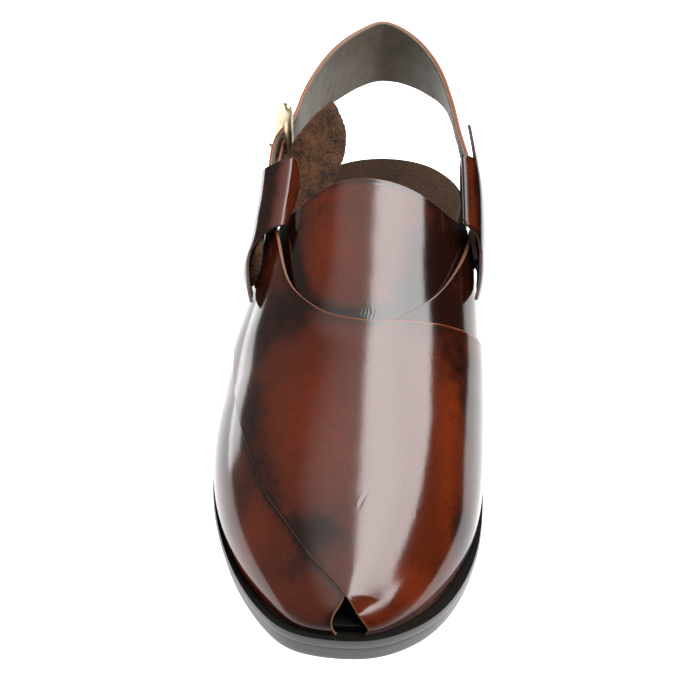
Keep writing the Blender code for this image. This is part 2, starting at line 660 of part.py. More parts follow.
def tube(path, radius, sides, closed=False):
    """Grid of circles of a given radius carried along a path."""
    path = np.asarray(path, float)
    ahead = np.roll(path, -1, axis=0) - np.roll(path, 1, axis=0)
    if not closed:
        ahead[0] = path[1] - path[0]
        ahead[-1] = path[-1] - path[-2]
    ahead /= np.linalg.norm(ahead, axis=-1, keepdims=True)
    across = np.cross(ahead, np.array([0.31, 0.83, 0.46]))
    across /= np.linalg.norm(across, axis=-1, keepdims=True)
    third = np.cross(ahead, across)
    a = np.arange(sides) * 2 * np.pi / sides
    circle = across[:, None] * np.cos(a)[None, :, None] + third[:, None] * np.sin(a)[None, :, None]
    return path[:, None] + circle * np.asarray(radius, float).reshape(-1, 1, 1)


def tube_faces(rows, sides, closed):
    """Faces of a tube grid, with round ends closed when it is open."""
    faces = []
    for i in range(rows if closed else rows - 1):
        j = (i + 1) % rows
        for k in range(sides):
            m = (k + 1) % sides
            faces.append([i * sides + k, i * sides + m, j * sides + m, j * sides + k])
    if not closed:
        faces.append(list(range(sides))[::-1])
        faces.append([(rows - 1) * sides + k for k in range(sides)])
    return faces


def make_tube(name, path, radius, sides, material, closed=False):
    """A tube object."""
    grid = tube(path, radius, sides, closed)
    return make_object(name, grid.reshape(-1, 3), tube_faces(len(grid), sides, closed), material)


def buckle_path(count):
    """Rounded frame through the near and far bars, one on each side of the strap."""
    a = np.arange(count) * 2 * np.pi / count
    across = 0.5 + 0.5 * np.sign(np.cos(a)) * np.abs(np.cos(a)) ** FRAME_SQUARE
    level = 0.5 + 0.5 * np.sign(np.sin(a)) * np.abs(np.sin(a)) ** FRAME_SQUARE
    near = np.array(NEAR_BAR)
    far = np.array(FAR_BAR)
    plan = near + (far - near) * across[:, None]
    plan[:, 0] += FAR_LEAN * across * (level - 0.5)
    height = BUCKLE_LOW + (BUCKLE_TOP - FAR_DROP * across - BUCKLE_LOW) * level
    return np.column_stack([plan, height])


def make_buckle(material):
    """Frame of the buckle."""
    return make_tube("buckle", buckle_path(BUCKLE_POINTS), BAR_RADIUS, TUBE_SIDES, material, closed=True)


def prong_path():
    """Hook round the near bar, then straight through the strap to rest outside the far bar."""
    hook = BAR_RADIUS + GAP + PRONG_RADIUS
    near = np.array(NEAR_BAR)
    far = np.array(FAR_BAR)
    ahead = (far - near) / np.linalg.norm(far - near)
    out = np.array([-ahead[1], ahead[0]])
    tip = far + out * (hook + GAP) + ahead * PRONG_PAST
    a = np.radians(np.linspace(*PRONG_HOOK, HOOK_POINTS))[:, None]
    plan = near + hook * (np.cos(a) * -ahead + np.sin(a) * -out)
    plan = np.concatenate([plan, plan[-1] + (tip - plan[-1]) * np.linspace(0.2, 1.0, SHAFT_POINTS)[:, None]])
    return np.column_stack([plan, np.full(len(plan), PRONG_Z)])


def make_prong(material):
    """Prong of the buckle."""
    return make_tube("buckle_prong", prong_path(), PRONG_RADIUS, TUBE_SIDES, material)


def make_billet(material):
    """Leather loop that holds the near bar, with both ends inside the lateral fold."""
    round_bar = BAR_RADIUS + GAP + BILLET_THICK / 2
    x, y = NEAR_BAR
    a = np.radians(np.linspace(*BILLET_BEND, HOOK_POINTS))
    bend = np.column_stack([x + round_bar * np.cos(a), y + round_bar * np.sin(a)])
    plan = np.concatenate([BILLET_INNER_LEG, bend, BILLET_OUTER_LEG])
    sink = np.minimum(plan[:, 1] - y + 3.0, 0.0) * math.tan(FOLD_SLOPE)
    middle = np.stack([np.column_stack([plan, z + sink]) for z in BILLET_Z], axis=1)
    half = grid_normals(middle) * BILLET_THICK / 2
    return make_object("buckle_billet", *closed_sheet(middle + half, middle - half), material)


def clear_scene():
    """Removes whatever the scene holds."""
    for thing in list(bpy.data.objects):
        bpy.data.objects.remove(thing)


def main():
    """Makes every piece of the shoe."""
    clear_scene()
    polished = make_material("polished_leather", (0.085, 0.022, 0.014), 0.18)
    rubber = make_material("black_sole", (0.012, 0.011, 0.011), 0.35)
    lining = make_material("insole_leather", (0.055, 0.042, 0.032), 0.6)
    suede = make_material("suede", (0.14, 0.07, 0.04), 0.95)
    brass = make_material("antique_brass", (0.48, 0.36, 0.20), 0.3, 1.0)
    make_outsole(rubber)
    make_heel(rubber)
    make_insole(lining)
    make_upper(polished)
    make_tongue(polished)
    lateral = (LATERAL_FOLD_START, LATERAL_FOLD, LATERAL_TURNS, LATERAL_FOLD_EDGE)
    make_fold("lateral_loop", *lateral, -1, polished)
    medial = (MEDIAL_FOLD_START, MEDIAL_FOLD, MEDIAL_TURNS, MEDIAL_FOLD_EDGE)
    make_fold("medial_loop", *medial, 1, polished)
    make_strap(polished)
    make_guard(suede)
    make_buckle(brass)
    make_prong(brass)
    make_billet(polished)


main()
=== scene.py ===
"""A burnished peshawari chappal for the right foot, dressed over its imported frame.

Each piece is a surface worked out from the shoe's own sizes in millimetres, and becomes metres
when its mesh is made. X runs to the medial side, Y to the heel and Z up; the floor is z = 0.
"""

import math

import bmesh
import bpy
import numpy as np
from bpy.props import FloatProperty, FloatVectorProperty, PointerProperty
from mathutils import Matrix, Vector


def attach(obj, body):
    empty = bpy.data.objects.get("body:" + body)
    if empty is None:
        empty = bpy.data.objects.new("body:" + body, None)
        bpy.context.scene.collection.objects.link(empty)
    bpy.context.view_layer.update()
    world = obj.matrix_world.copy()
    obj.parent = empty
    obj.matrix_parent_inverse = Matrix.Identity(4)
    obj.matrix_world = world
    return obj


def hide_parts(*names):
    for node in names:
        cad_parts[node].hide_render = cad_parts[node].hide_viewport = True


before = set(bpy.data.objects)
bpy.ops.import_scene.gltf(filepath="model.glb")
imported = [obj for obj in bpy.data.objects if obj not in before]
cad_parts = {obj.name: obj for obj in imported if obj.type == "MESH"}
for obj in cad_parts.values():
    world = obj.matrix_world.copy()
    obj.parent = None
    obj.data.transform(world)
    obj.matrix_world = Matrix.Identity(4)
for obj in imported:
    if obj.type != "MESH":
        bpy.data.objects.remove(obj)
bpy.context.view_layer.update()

bl_info = {
    "name": "Peshawari chappal",
    "version": (1, 0, 0),
    "blender": (4, 5, 0),
    "location": "3D View > Sidebar > Chappal",
    "description": "Makes a burnished leather chappal with a heel strap, and its studio",
    "category": "Add Mesh",
}

MM = 0.001
CENTRE_X = -1.2
LENGTH = 290.0
SEAT_HEIGHT = 30.0
TREAD = 9.0
SHANK_THICK = 6.0
TOE_SPRING = 6.5
# Station y where the toe spring ends, and its length; where the shank's rise begins, the length
# of that rise, and the length over which the shank thins.
SPRING_END = -87.0
SPRING_RUN = 58.0
SHANK_START = -24.0
SHANK_RISE = 100.0
SHANK_THINNING = 60.0
GAP = 0.3
LEATHER = 1.7
# How far the foot of the upper stands in from its own leather at the sole's edge, how much more
# at the toe, and the turn angle over which that fades.
FEATHER = 0.9
TOE_FEATHER = 3.6
TOE_TURN = 1.25
# Small steps in turn angle or place, and in station, that give a surface its normal.
NUDGE = 1e-3
NUDGE_Y = 0.05
# Points along a panel's edge where its shadow is worked out, and the grid of each sheet: how
# many points along it and across it.
LINE_POINTS = 60
UNDER_GRID = (260, 110)
OVER_GRID = (270, 115)
TONGUE_GRID = (150, 190)
STRAP_GRID = (540, 30)
GUARD_GRID = (170, 70)

# Outline of the sole: distance back from the toe, lateral edge x, medial edge x.
OUTLINE = (
    (0, 1.5, 1.5),
    (5.5, -19.6, 17.6),
    (20, -31.9, 31.4),
    (34.5, -39.3, 39.9),
    (60, -48.8, 49.6),
    (90, -54.1, 53.4),
    (115, -54, 53.4),
    (145, -49.2, 50),
    (175, -42, 45.6),
    (205, -34, 44.6),
    (232, -26.8, 47.6),
    (254, -22.8, 50.4),
    (272, -17.6, 46.4),
    (285, -5.4, 34.2),
    (290, 14.4, 14.4),
)

# The last: distance back from the toe, crown x, crown height over the sole,
# length of the crown's handle, side fullness, how far the lateral and medial sides swell.
LAST = (
    (0, 1.5, 0, 0, 0.5, 0, 0),
    (11, 0.5, 10, 11, 0.52, 0.5, 0.5),
    (25, 0.5, 18.5, 17, 0.55, 1.5, 1.5),
    (42, 1, 26, 22, 0.57, 2.5, 2.5),
    (62, 2, 33.5, 26, 0.58, 3.5, 3.5),
    (90, 3.5, 43, 29, 0.58, 4.5, 6),
    (115, 5, 50.5, 31, 0.58, 5.4, 9.5),
    (130, 6, 55, 32, 0.58, 5.2, 12),
    (145, 7, 60, 33, 0.58, 5, 14),
    (165, 8, 65.5, 35, 0.58, 3.6, 17.4),
    (190, 9, 70.5, 37, 0.58, 3, 17.7),
    (215, 10, 76, 38, 0.58, 3, 16.2),
)

# Panel edges on the last: station y and place s, from the medial sole to the lateral sole for
# the over panel, and from the lateral sole to the medial sole for the under panel.
OVER_FRONT = (
    (-144.4, 1), (-143.3, 0.45), (-141.6, 0.18), (-138.7, 0.05), (-133.8, -0.05), (-125.3, -0.18),
    (-113.8, -0.3), (-98.2, -0.39), (-85, -0.46), (-66, -0.515), (-46.3, -0.57),
    (-17.8, -0.64), (-3, -0.7), (12, -0.82), (24, -1),
)
OVER_REAR = (
    (9, 1), (6, 0.84), (1.9, 0.71), (-2.4, 0.59), (-7.3, 0.43), (-10.4, 0.29), (-12.9, 0.14),
    (-14.1, 0.02), (-12.5, -0.07), (-8.5, -0.17), (-1.5, -0.26), (12, -0.37), (27.6, -0.44),
    (40, -0.505), (50, -0.58), (55, -0.7), (53, -0.86), (48, -1),
)
UNDER_FRONT = (
    (-144.4, -1), (-143.3, -0.55), (-139.3, -0.23), (-133.8, -0.06), (-120, 0.06), (-100, 0.16),
    (-70, 0.28), (-40, 0.4), (-15, 0.55), (5, 0.75), (20, 1),
)
UNDER_REAR = (
    (9, -1), (4, -0.8), (-4, -0.55), (-12, -0.3), (-17, -0.1), (-15.8, 0.05),
    (-11.6, 0.14), (-5.2, 0.23), (3.4, 0.33), (16.3, 0.43), (32.6, 0.54), (43, 0.61),
    (52, 0.69), (56, 0.8), (54, 0.9), (49, 1),
)
# Weight of a place against a turn angle where a panel's edge is measured along its length.
S_SPAN = 1.2
# How far the over panel rises over the under panel, how far its back lifts there, the place and
# the length over which it comes down again past the hidden edges, its raw layer, and the size
# and depth of the panels' slow waves.
PANEL_STEP = 1.5
BACK_LIFT = 1.74
STEP_PLACE = 0.45
STEP_LENGTH = 26.0
RAW_LAYER = 1.06
WAVE_SIZE = 15.0
WAVE_DEPTH = 0.05

# Tongue: its thickness and front station, its half-width at the front as a place, its rear edge
# as (place, station), and how far its lateral and medial sides fall away from the panels.
TONGUE_THICK = 2.0
TONGUE_FRONT = -38.0
TONGUE_FRONT_PLACE = 0.44
TONGUE_REAR = (
    (-0.68, 47), (-0.54, 44.5), (-0.42, 41.4), (-0.28, 41.2), (-0.08, 43.8), (0.05, 43),
    (0.24, 39.8), (0.34, 38.6), (0.46, 39.8), (0.56, 44.6), (0.66, 50.5), (0.8, 53.5), (0.92, 50),
)
TONGUE_FALL = (2.4, 1.0)

# Heel strap, outer face: upper edge x, y, z and lower edge x, y, z, from the lateral end round
# the heel to the medial end. The last two rows are its end inside the medial loop, whose tip has
# its raw edge and back painted near black as shade.
STRAP = (
    (-38.1, 24.8, 67, -40.4, 30.2, 56.8),
    (-36.2, 38, 72.6, -38.1, 42.5, 62.4),
    (-34.8, 49, 78.4, -36.2, 54, 66),
    (-33.4, 60, 84.6, -34.4, 64, 71.5),
    (-32.1, 72, 90, -32.8, 72.5, 76.4),
    (-30.9, 76, 91.6, -31.8, 76.5, 77.9),
    (-28.6, 80, 93, -29.8, 80.5, 78.1),
    (-25.4, 84, 94.4, -27, 85, 77.9),
    (-23, 88, 95.8, -25, 89.5, 77.4),
    (-20.9, 94, 97.8, -23, 96, 76.8),
    (-18.9, 100, 99.6, -21.3, 102, 76.2),
    (-15.2, 108, 102, -18.5, 109.5, 75.8),
    (-9.7, 118, 104.4, -13.3, 119, 75.8),
    (-0.9, 129.5, 106.2, -4.4, 129, 76.3),
    (6, 136, 106.6, 3.6, 136, 76.8),
    (14.4, 140.6, 106.7, 14.4, 140.4, 77),
    (21.5, 138, 106, 24.4, 138, 77),
    (28.5, 132.5, 104.2, 32.8, 132, 76.9),
    (34.5, 124, 102.2, 40, 124, 76.8),
    (39.5, 112, 100.2, 44.8, 112, 76.6),
    (42.6, 99, 98.4, 46.6, 101, 75.8),
    (44.5, 88, 97.2, 48.2, 91, 74.6),
    (45.9, 78, 96, 49.4, 82, 72.8),
    (47.9, 68.5, 93.8, 50.6, 74, 70.9),
    (50.1, 60.5, 89.4, 52.1, 66.5, 68.6),
    (51, 52, 84, 53.1, 59, 65.8),
    (51.6, 38.5, 75.9, 54, 46, 60.2),
    (51.9, 31, 70.6, 53.2, 36.5, 57.5),
    (53, 26, 67, 54, 30, 58.5),
)
STRAP_THICK = 2.2

# Folded loops. A fold's crest starts at (y, z) and drops toward the toe at FOLD_SLOPE. Its
# section is a strip that turns as it leaves the crest, walked in small steps both ways from it.
# The tuck comes in over TUCK_OVER, and FOLD_EASE packs the grid's points near the crest. Near the
# crest's start the flap is cut back by up to FOLD_TRIM, which comes in over TRIM_OVER down the
# flap and is gone TRIM_FADE along the crest. A welt of FOLD_WELT stands inside, WELT_UP above the
# flap's lower edge.
# Columns of a section: distance from the crest, angle down from level in degrees.
# Columns of a fold: distance along the crest, x of the crest, size of the section, how many
# degrees the outer flap tucks in, where that starts, length down to the flap's lower edge.
# Columns of a fold's edge: distance along the crest, distance from the crest to where it starts.
FOLD_SLOPE = math.radians(30)
FOLD_THICK = 1.4
FOLD_ROWS = 150
FOLD_COLS = 100
FOLD_EASE = 1.5
FOLD_TRIM = 3.0
TRIM_OVER = 15.0
TRIM_FADE = 30.0
FOLD_WELT = 2.4
WELT_UP = 5.0
FOLD_ROUND = 0.3
FOLD_WALK = np.arange(-18.0, 44.0, 0.25)
TUCK_OVER = 5.0
LATERAL_TURNS = ((-1.2, -48.0), (0.4, 8.0), (8.0, 25.0), (11.6, 75.0), (16.0, 79.0), (24.0, 81.0))
LATERAL_FOLD_START = (58.5, 94.0)
LATERAL_FOLD = (
    (0, -23.8, 1.17, 0, 24, 28),
    (5, -24.2, 1.17, 4, 24, 32),
    (10, -24.8, 1.16, 10, 23, 34),
    (15, -25.4, 1.15, 16, 22, 34),
    (22, -26.5, 1.15, 22, 21.5, 33),
    (30, -27.6, 1.14, 30, 21.5, 32.2),
    (36, -29.2, 1.11, 31, 21, 30.5),
    (44, -31.8, 1.05, 33, 18.8, 27.8),
    (52, -32.3, 0.96, 28, 12, 20.8),
    (58, -32.3, 0.88, 26, 9, 15.5),
    (62, -31.7, 0.84, 8, 8, 10),
)
LATERAL_FOLD_EDGE = (
    (0, -2.6), (5, -5.2), (11, -6.6), (17, -6.2), (23, -4.8), (28.8, -3.2), (29.4, -1.6),
    (29.8, 0), (30.2, 1.4), (30.8, 3.6), (34, 8), (40, 11), (62, 9.4),
)
MEDIAL_TURNS = ((-1.2, -80.0), (-0.3, -16.0), (0.8, 30.0), (6.8, 44.0), (9.0, 72.0), (20.0, 84.0))
MEDIAL_FOLD_START = (58.0, 95.1)
MEDIAL_FOLD = (
    (-18.5, 45.4, 0.62, 0, 14, 9),
    (-10, 46, 0.8, 0, 18, 20),
    (0, 46.7, 0.98, 2, 22, 28),
    (10, 47.1, 1.08, 8, 17, 32),
    (20, 47.3, 1.09, 10, 17, 33),
    (29, 47.4, 1.08, 18, 18, 31),
    (36, 47.5, 1.05, 20, 12, 26.5),
    (44, 47.6, 1.02, 22, 10.5, 22),
    (54, 47.4, 0.92, 25, 9, 17),
    (61, 46.6, 0.78, 12, 7, 8.5),
)
MEDIAL_FOLD_EDGE = (
    (-18.5, 7.4), (-2, 6.6), (-1.3, 3), (-0.7, 0), (0, -3.5), (1, -5), (12, -6.5),
    (28.5, -6.5), (29.4, -3), (29.9, -1), (30.6, 1.5), (34, 6), (40, 8.4), (61, 7.2),
)

# Suede guard behind the buckle, face toward the foot: upper edge x, y, z, lower edge x, y, z.
GUARD = (
    (-26.9, 50, 75.6, -18.5, 47, 66),
    (-26.1, 58, 81.4, -14.1, 53, 68),
    (-25.6, 66.5, 87.8, -9.6, 61, 71.3),
    (-23.6, 70.5, 90.4, -6, 69, 75),
    (-21, 74.5, 93.4, -3.1, 76, 77.9),
    (-17.4, 79.4, 95.4, -1.6, 80.5, 79.8),
    (-12.2, 85.2, 98.3, -1, 86, 84.8),
    (-8.2, 89.5, 98.8, -2.6, 90.6, 90.5),
    (-6.9, 92, 98.9, -5.4, 92.3, 96.8),
)
GUARD_THICK = 1.6
GUARD_ROUND = 0.35
# Frayed end of the suede where it comes out of the lateral loop: x, y, z, then its half-widths.
FRAYED_END = (
    (-35.9, 29, 73), (-36.9, 26.5, 69.4), (-38.2, 24.6, 64), (-39.2, 23.6, 59),
    (-39.9, 23.4, 55),
)
FRAYED_SIZE = (1.7, 2.4)

# Buckle: the bar on the foot's side at (x, y), the far bar outside the strap, and the frame's
# lowest and highest middle z.
NEAR_BAR = (-24.85, 76.5)
FAR_BAR = (-29.6, 84.8)
BUCKLE_LOW = 75.7
BUCKLE_TOP = 106.5
FAR_DROP = 6.0
FAR_LEAN = 1.6
BAR_RADIUS = 1.75
FRAME_SQUARE = 0.42
# The broad strip on the far bar: how much wider it is, how much thinner the far side and the
# strip are, and how far it stands back.
STRIP_WIDER = 0.9
FAR_THINNER = 0.35
STRIP_THINNER = 0.25
STRIP_OUT = 1.3
PRONG_RADIUS = 0.8
PRONG_Z = 82.0
PRONG_HOOK = (200.0, -85.0)
PRONG_PAST = 2.5
BILLET_THICK = 1.1
BILLET_BEND = (-14.0, 170.0)
BILLET_Z = (83.8, 88.6)
BILLET_SINK = 3.0
BILLET_INNER_LEG = ((-28.1, 58.0), (-27.9, 63.0), (-26.2, 69.0))
BILLET_OUTER_LEG = ((-28.9, 69.0), (-29.7, 63.0), (-29.9, 58.0))

# Side of the outsole from the floor up: how far each ring stands in, and its share of the
# thickness.
SOLE_SIDE = (
    (2.9, 0), (2.2, 0.012), (1.6, 0.05), (1.3, 0.1), (1.1, 0.25), (1, 0.4), (0.95, 0.55),
    (1, 0.6), (1.1, 0.625), (1.12, 0.64), (1, 0.66), (0.6, 0.69), (0.15, 0.73), (0, 0.78),
    (0, 0.88), (0.08, 0.93), (0.3, 0.975), (0.7, 0.998), (1.1, 1),
)
HEEL_SIDE = (
    (4, 0), (3.3, 0.012), (2.7, 0.04), (2.2, 0.3), (1.9, 0.62), (1.65, 0.97), (1.9, 1),
)
# Station of the heel's front face, how far it bows back, and how much it slopes.
HEEL_BREAST = 66.0
BREAST_CURVE = 5.0
BREAST_SLOPE = 0.6
# How much broader the toe is on its lateral and medial side, around which turn angles and over
# how much of them; how far its underside drops, from which station and over what length; and the
# lip on the rim, how far in it stands and how broad it is.
TOE_BROAD = (1.8, 3.2)
BROAD_TURNS = (-0.6, 0.6)
BROAD_OVER = 0.35
TOE_DROP = 1.3
DROP_START = -110.0
DROP_LENGTH = 30.0
RIM_LIP = 0.9
LIP_INSET = 0.35
LIP_REACH = 0.5

# Insole board's side from its underside up: how far each ring stands in, and its height.
INSOLE_SIDE = (
    (0, 0), (0, 2.2), (0.06, 2.5), (0.25, 2.78), (0.6, 2.94), (1.1, 3), (2, 3),
)
# How far the board stands in from the sole's edge at the heel, and from the foot of the upper.
INSOLE_HEEL = 2.2
INSOLE_CLEAR = 1.3

# Dark spots, partly burnish and partly painted shade beside the loops and on the tongue's sides
# and base:
# x, y, reach across, reach along, strength. Where the strength is negative it lifts the dye.
OVER_BURNISH_AND_SHADE = (
    (-40, -45, 8, 44, 0.75),
    (-31, -85, 8, 22, 0.55),
    (-14, -106, 15, 12, 0.95),
    (-24, -4, 14, 14, 0.85),
    # painted shade beside the lateral loop
    (-40, 20, 10, 22, 0.55),
    (0, -16, 30, 7, 0.25),
    (40, -20, 10, 16, 0.6),
    (50, -45, 6, 34, 0.75),
    (46, -92, 7, 14, 0.9),
    (34, -112, 5, 10, 0.3),
    (12, -128, 12, 6, 0.25),
    (-12, -58, 16, 30, -0.35),
)
OVER_EMBER = (
    (38, -72, 5, 32, 0.65),
    (42, -40, 4, 20, 0.45),
    (26, -122, 14, 10, 0.75),
    (-12, -60, 18, 30, 0.6),
    (6, -134, 8, 6, 0.6),
)
UNDER_BURNISH_AND_SHADE = (
    (-48, -40, 7, 34, 0.6),
    (-40, -78, 5, 14, 0.4),
    (-20, -116, 8, 8, 0.55),
    (-6, -138, 8, 6, 0.5),
    (30, -4, 11, 12, 1.1),
    # painted shade beside the medial loop
    (45, 30, 10, 36, 1),
    (46, -10, 5, 10, 0.5),
)
UNDER_EMBER = (
    (-38, -96, 8, 16, 0.75),
    (-26, -122, 10, 8, 0.5),
    (40, 6, 5, 18, 0.7),
)
TONGUE_BURNISH_AND_SHADE = (
    # painted shade on the tongue's sides and along its base, under the throat
    (-29, 14, 9, 30, 0.9),
    (10, -16, 40, 7, 0.75),
    (36, 14, 12, 32, 1),
    (26, 2, 9, 12, 0.45),
    (-14, 34, 12, 6, 0.35),
    (8, 43, 30, 4, 0.35),
    (-8, 12, 12, 20, -0.3),
)
TONGUE_EMBER = (
    (-8, 14, 12, 18, 0.55),
    (27, 30, 6, 12, 0.5),
    (-14, 38, 14, 6, 0.5),
)

# Creases pressed in: x, y, half-length, half-width, heading in degrees, depth.
TONGUE_CREASES = (
    (9.5, 41.2, 14, 0.45, -4, 0.16),
    (-6, 39, 6, 0.5, 8, 0.05),
    (22, 38, 6, 0.4, -14, 0.06),
)
OVER_CREASES = (
    (6, -92, 5, 0.6, 62, 0.05),
    (24, -96, 6, 0.5, 20, 0.04),
    (45, -112, 3, 0.5, 70, 0.1),
)

# Studio, in metres: the floor, the camera's target and sensor (in millimetres), and the place,
# target and size of each softbox.
FLOOR_HALF = 30.0
FLOOR_Z = -2e-4
FLOOR_CORNERS = ((-1, -1), (1, -1), (1, 1), (-1, 1))
PAPER = {
    "Base_Color": (0.38, 0.38, 0.38),
    "Emission_Color": (1.0, 1.0, 0.995),
    "Emission_Strength": 1.6,
}
SKY_COLOUR = (1.0, 0.985, 0.96)
TARGET = (-0.0008, 0.02485, 0.020)
SENSOR = 36.0
SIDE_LIGHT = ((-0.30, 0.20, 0.05), (-0.045, 0.02, 0.05), (0.16, 0.11))
KEY_LIGHT = ((0.615, 0.445, 1.2), (0.615, 0.445, 0.0), (1.09, 1.99))


def smooth(t):
    """Rises from 0 to 1 with level ends as t goes from 0 to 1."""
    t = np.clip(t, 0, 1)
    return t * t * (3 - 2 * t)


def bell(away, reach):
    """1 where away is 0, falling off on both sides: exp(-(away / reach)^2)."""
    return np.exp(-((away / reach) ** 2))


def unit(vectors):
    """Vectors brought to length 1."""
    return vectors / np.linalg.norm(vectors, axis=-1, keepdims=True)


def heading(path):
    """Unit directions along a path's points."""
    return unit(np.gradient(path, axis=0))


def lengths(points):
    """Distance of each point from the first, along the line through them."""
    step = np.linalg.norm(np.diff(points, axis=0), axis=-1)
    return np.concatenate([[0], np.cumsum(step)])


def plan_of(grid):
    """The x and the y of a grid's points."""
    return grid[..., 0], grid[..., 1]


def spline(knots, values, at):
    """Natural cubic spline through rows of values, read at an array of places."""
    x = np.asarray(knots, float)
    rows = np.asarray(values, float)
    at = np.asarray(at, float)
    flat = rows.reshape(len(x), -1)
    h = np.diff(x)[:, None]
    rise = np.diff(flat, axis=0) / h
    bend = np.zeros_like(flat)
    inner = h[1:-1, 0]
    grid = np.diag(2 * (h[:-1, 0] + h[1:, 0])) + np.diag(inner, 1) + np.diag(inner, -1)
    bend[1:-1] = np.linalg.solve(grid, 6 * np.diff(rise, axis=0))
    i = np.clip(np.searchsorted(x, at.ravel()) - 1, 0, len(x) - 2)
    step = h[i]
    after = (at.ravel() - x[i])[:, None]
    before = step - after
    out = (bend[i] * before**3 + bend[i + 1] * after**3) / (6 * step)
    out += (flat[i] / step - bend[i] * step / 6) * before
    out += (flat[i + 1] / step - bend[i + 1] * step / 6) * after
    return out.reshape(at.shape + rows.shape[1:])


def turn_of(y):
    """Angle that runs from 0 at the toe to pi at the heel, so that both ends come out round."""
    return np.arccos(np.clip(-2 * np.asarray(y, float) / LENGTH, -1, 1))


def signed_turns(turns):
    """Angles from 0 to 2 pi as turn angles, negative on the lateral side."""
    return np.where(turns > np.pi, turns - 2 * np.pi, turns)


def ring_turns(count):
    """Even turn angles once round the sole, from the toe by the medial side."""
    return signed_turns(np.arange(count) * 2 * np.pi / count)


def outline_point(turn, inset=0):
    """Point of the sole's outline at an angle: negative on the lateral side, positive medial."""
    back, lateral, medial = np.array(OUTLINE).T
    angle = turn_of(back - LENGTH / 2)
    ring = np.concatenate([-angle[:0:-1], angle[:-1]])
    edge = np.concatenate([lateral[:0:-1], medial[:-1]])
    knots = np.concatenate([ring - 2 * np.pi, ring, ring + 2 * np.pi])
    edges = np.tile(edge, 3)
    turn = np.asarray(turn, float)

    def place(a):
        return np.stack([spline(knots, edges, a), -LENGTH / 2 * np.cos(a)], axis=-1)

    along = place(turn + NUDGE) - place(turn - NUDGE)
    normal = unit(np.stack([along[..., 1], -along[..., 0]], axis=-1))
    return place(turn) - normal * np.asarray(inset)[..., None]


def sole_top(y):
    """Height of the sole's upper face: toe spring, flat tread, shank rise and level heel seat."""
    spring = TOE_SPRING * np.clip((SPRING_END - y) / SPRING_RUN, 0, 1) ** 2
    return TREAD + spring + (SEAT_HEIGHT - TREAD) * smooth((y - SHANK_START) / SHANK_RISE)


def sole_bottom(y):
    """Height of the outsole's lower face, thinner under the shank and the heel seat."""
    thinner = (TREAD - SHANK_THICK) * smooth((y - SHANK_START) / SHANK_THINNING)
    return sole_top(y) - TREAD + thinner


def feather_inset(turn):
    """How far the foot of the upper stands in from the sole's edge, more around the toe."""
    return FEATHER + LEATHER + TOE_FEATHER * (1 - smooth(np.abs(turn) / TOE_TURN))


def last_point(y, s, lift=0):
    """Point on the last at station y and place s around the section, lifted along its normal.

    Each section is two cubic arcs that meet level at the crown. An arc starts upright at the
    sole's edge, swells out by its table value and ends on the crown's handle.
    """
    rows = np.array(LAST)
    knots = turn_of(rows[:, 0] - LENGTH / 2)

    def place(y, s):
        turn = turn_of(y)
        columns = np.moveaxis(spline(knots, rows[:, 1:], turn), -1, 0)
        x, height, handle, full, out_lateral, out_medial = columns
        side = np.sign(s + 1e-12)
        foot = outline_point(turn * side, feather_inset(turn))
        base = sole_top(foot[..., 1]) + GAP
        swell = np.where(side > 0, out_medial, out_lateral) * side
        t = 1 - np.abs(s)
        w0 = (1 - t) ** 3
        w1 = 3 * (1 - t) ** 2 * t
        w2 = 3 * (1 - t) * t * t
        w3 = t**3
        px = w0 * foot[..., 0] + w1 * (foot[..., 0] + swell) + w2 * (x + side * handle) + w3 * x
        crown_y = y * (1 - 2 * feather_inset(turn) / LENGTH)
        py = (w0 + w1) * foot[..., 1] + (w2 + w3) * crown_y
        crown = sole_top(y) + GAP + height
        pz = w0 * base + w1 * (base + full * height) + (w2 + w3) * crown
        return np.stack([px, py, pz], axis=-1)

    y, s = np.broadcast_arrays(np.asarray(y, float), np.asarray(s, float))
    across = place(y, np.clip(s + NUDGE, -1, 1)) - place(y, np.clip(s - NUDGE, -1, 1))
    along = place(y + NUDGE_Y, s) - place(y - NUDGE_Y, s)
    return place(y, s) + unit(np.cross(across, along)) * np.asarray(lift, float)[..., None]


def edge_curve(rows, count):
    """Curve through (station, place) rows, as count even steps in turn angle and place."""
    rows = np.array(rows)
    flat = np.stack([turn_of(rows[:, 0]), S_SPAN * rows[:, 1]], axis=-1)
    length = lengths(flat)
    curve = spline(length, flat, np.linspace(0, length[-1], count))
    return np.stack([curve[:, 0], np.clip(curve[:, 1] / S_SPAN, -1, 1)], axis=-1)


def panel_field(front, rear, along, across):
    """Stations and places of a grid that runs between a panel's front and rear edges."""
    a = edge_curve(front, along)[:, None]
    b = edge_curve(rear, along)[:, None]
    field = a + (b - a) * np.linspace(0, 1, across)[None, :, None]
    return -LENGTH / 2 * np.cos(field[..., 0]), field[..., 1]


def over_under(y, s):
    """1 where the under panel lies beneath the over panel, easing to 0 past its hidden edges."""
    front = np.array(UNDER_FRONT)
    rear = np.array(UNDER_REAR)
    inside = np.interp(y, front[:, 0], front[:, 1]) - s
    ahead = np.interp(s, rear[:, 1], rear[:, 0]) - y
    return smooth(1 + inside / STEP_PLACE) * smooth(1 + ahead / STEP_LENGTH)


def on_sole(points):
    """Keeps the foot of a skin a hair above the sole."""
    points[..., 2] = np.maximum(points[..., 2], sole_top(points[..., 1]) + GAP)
    return points


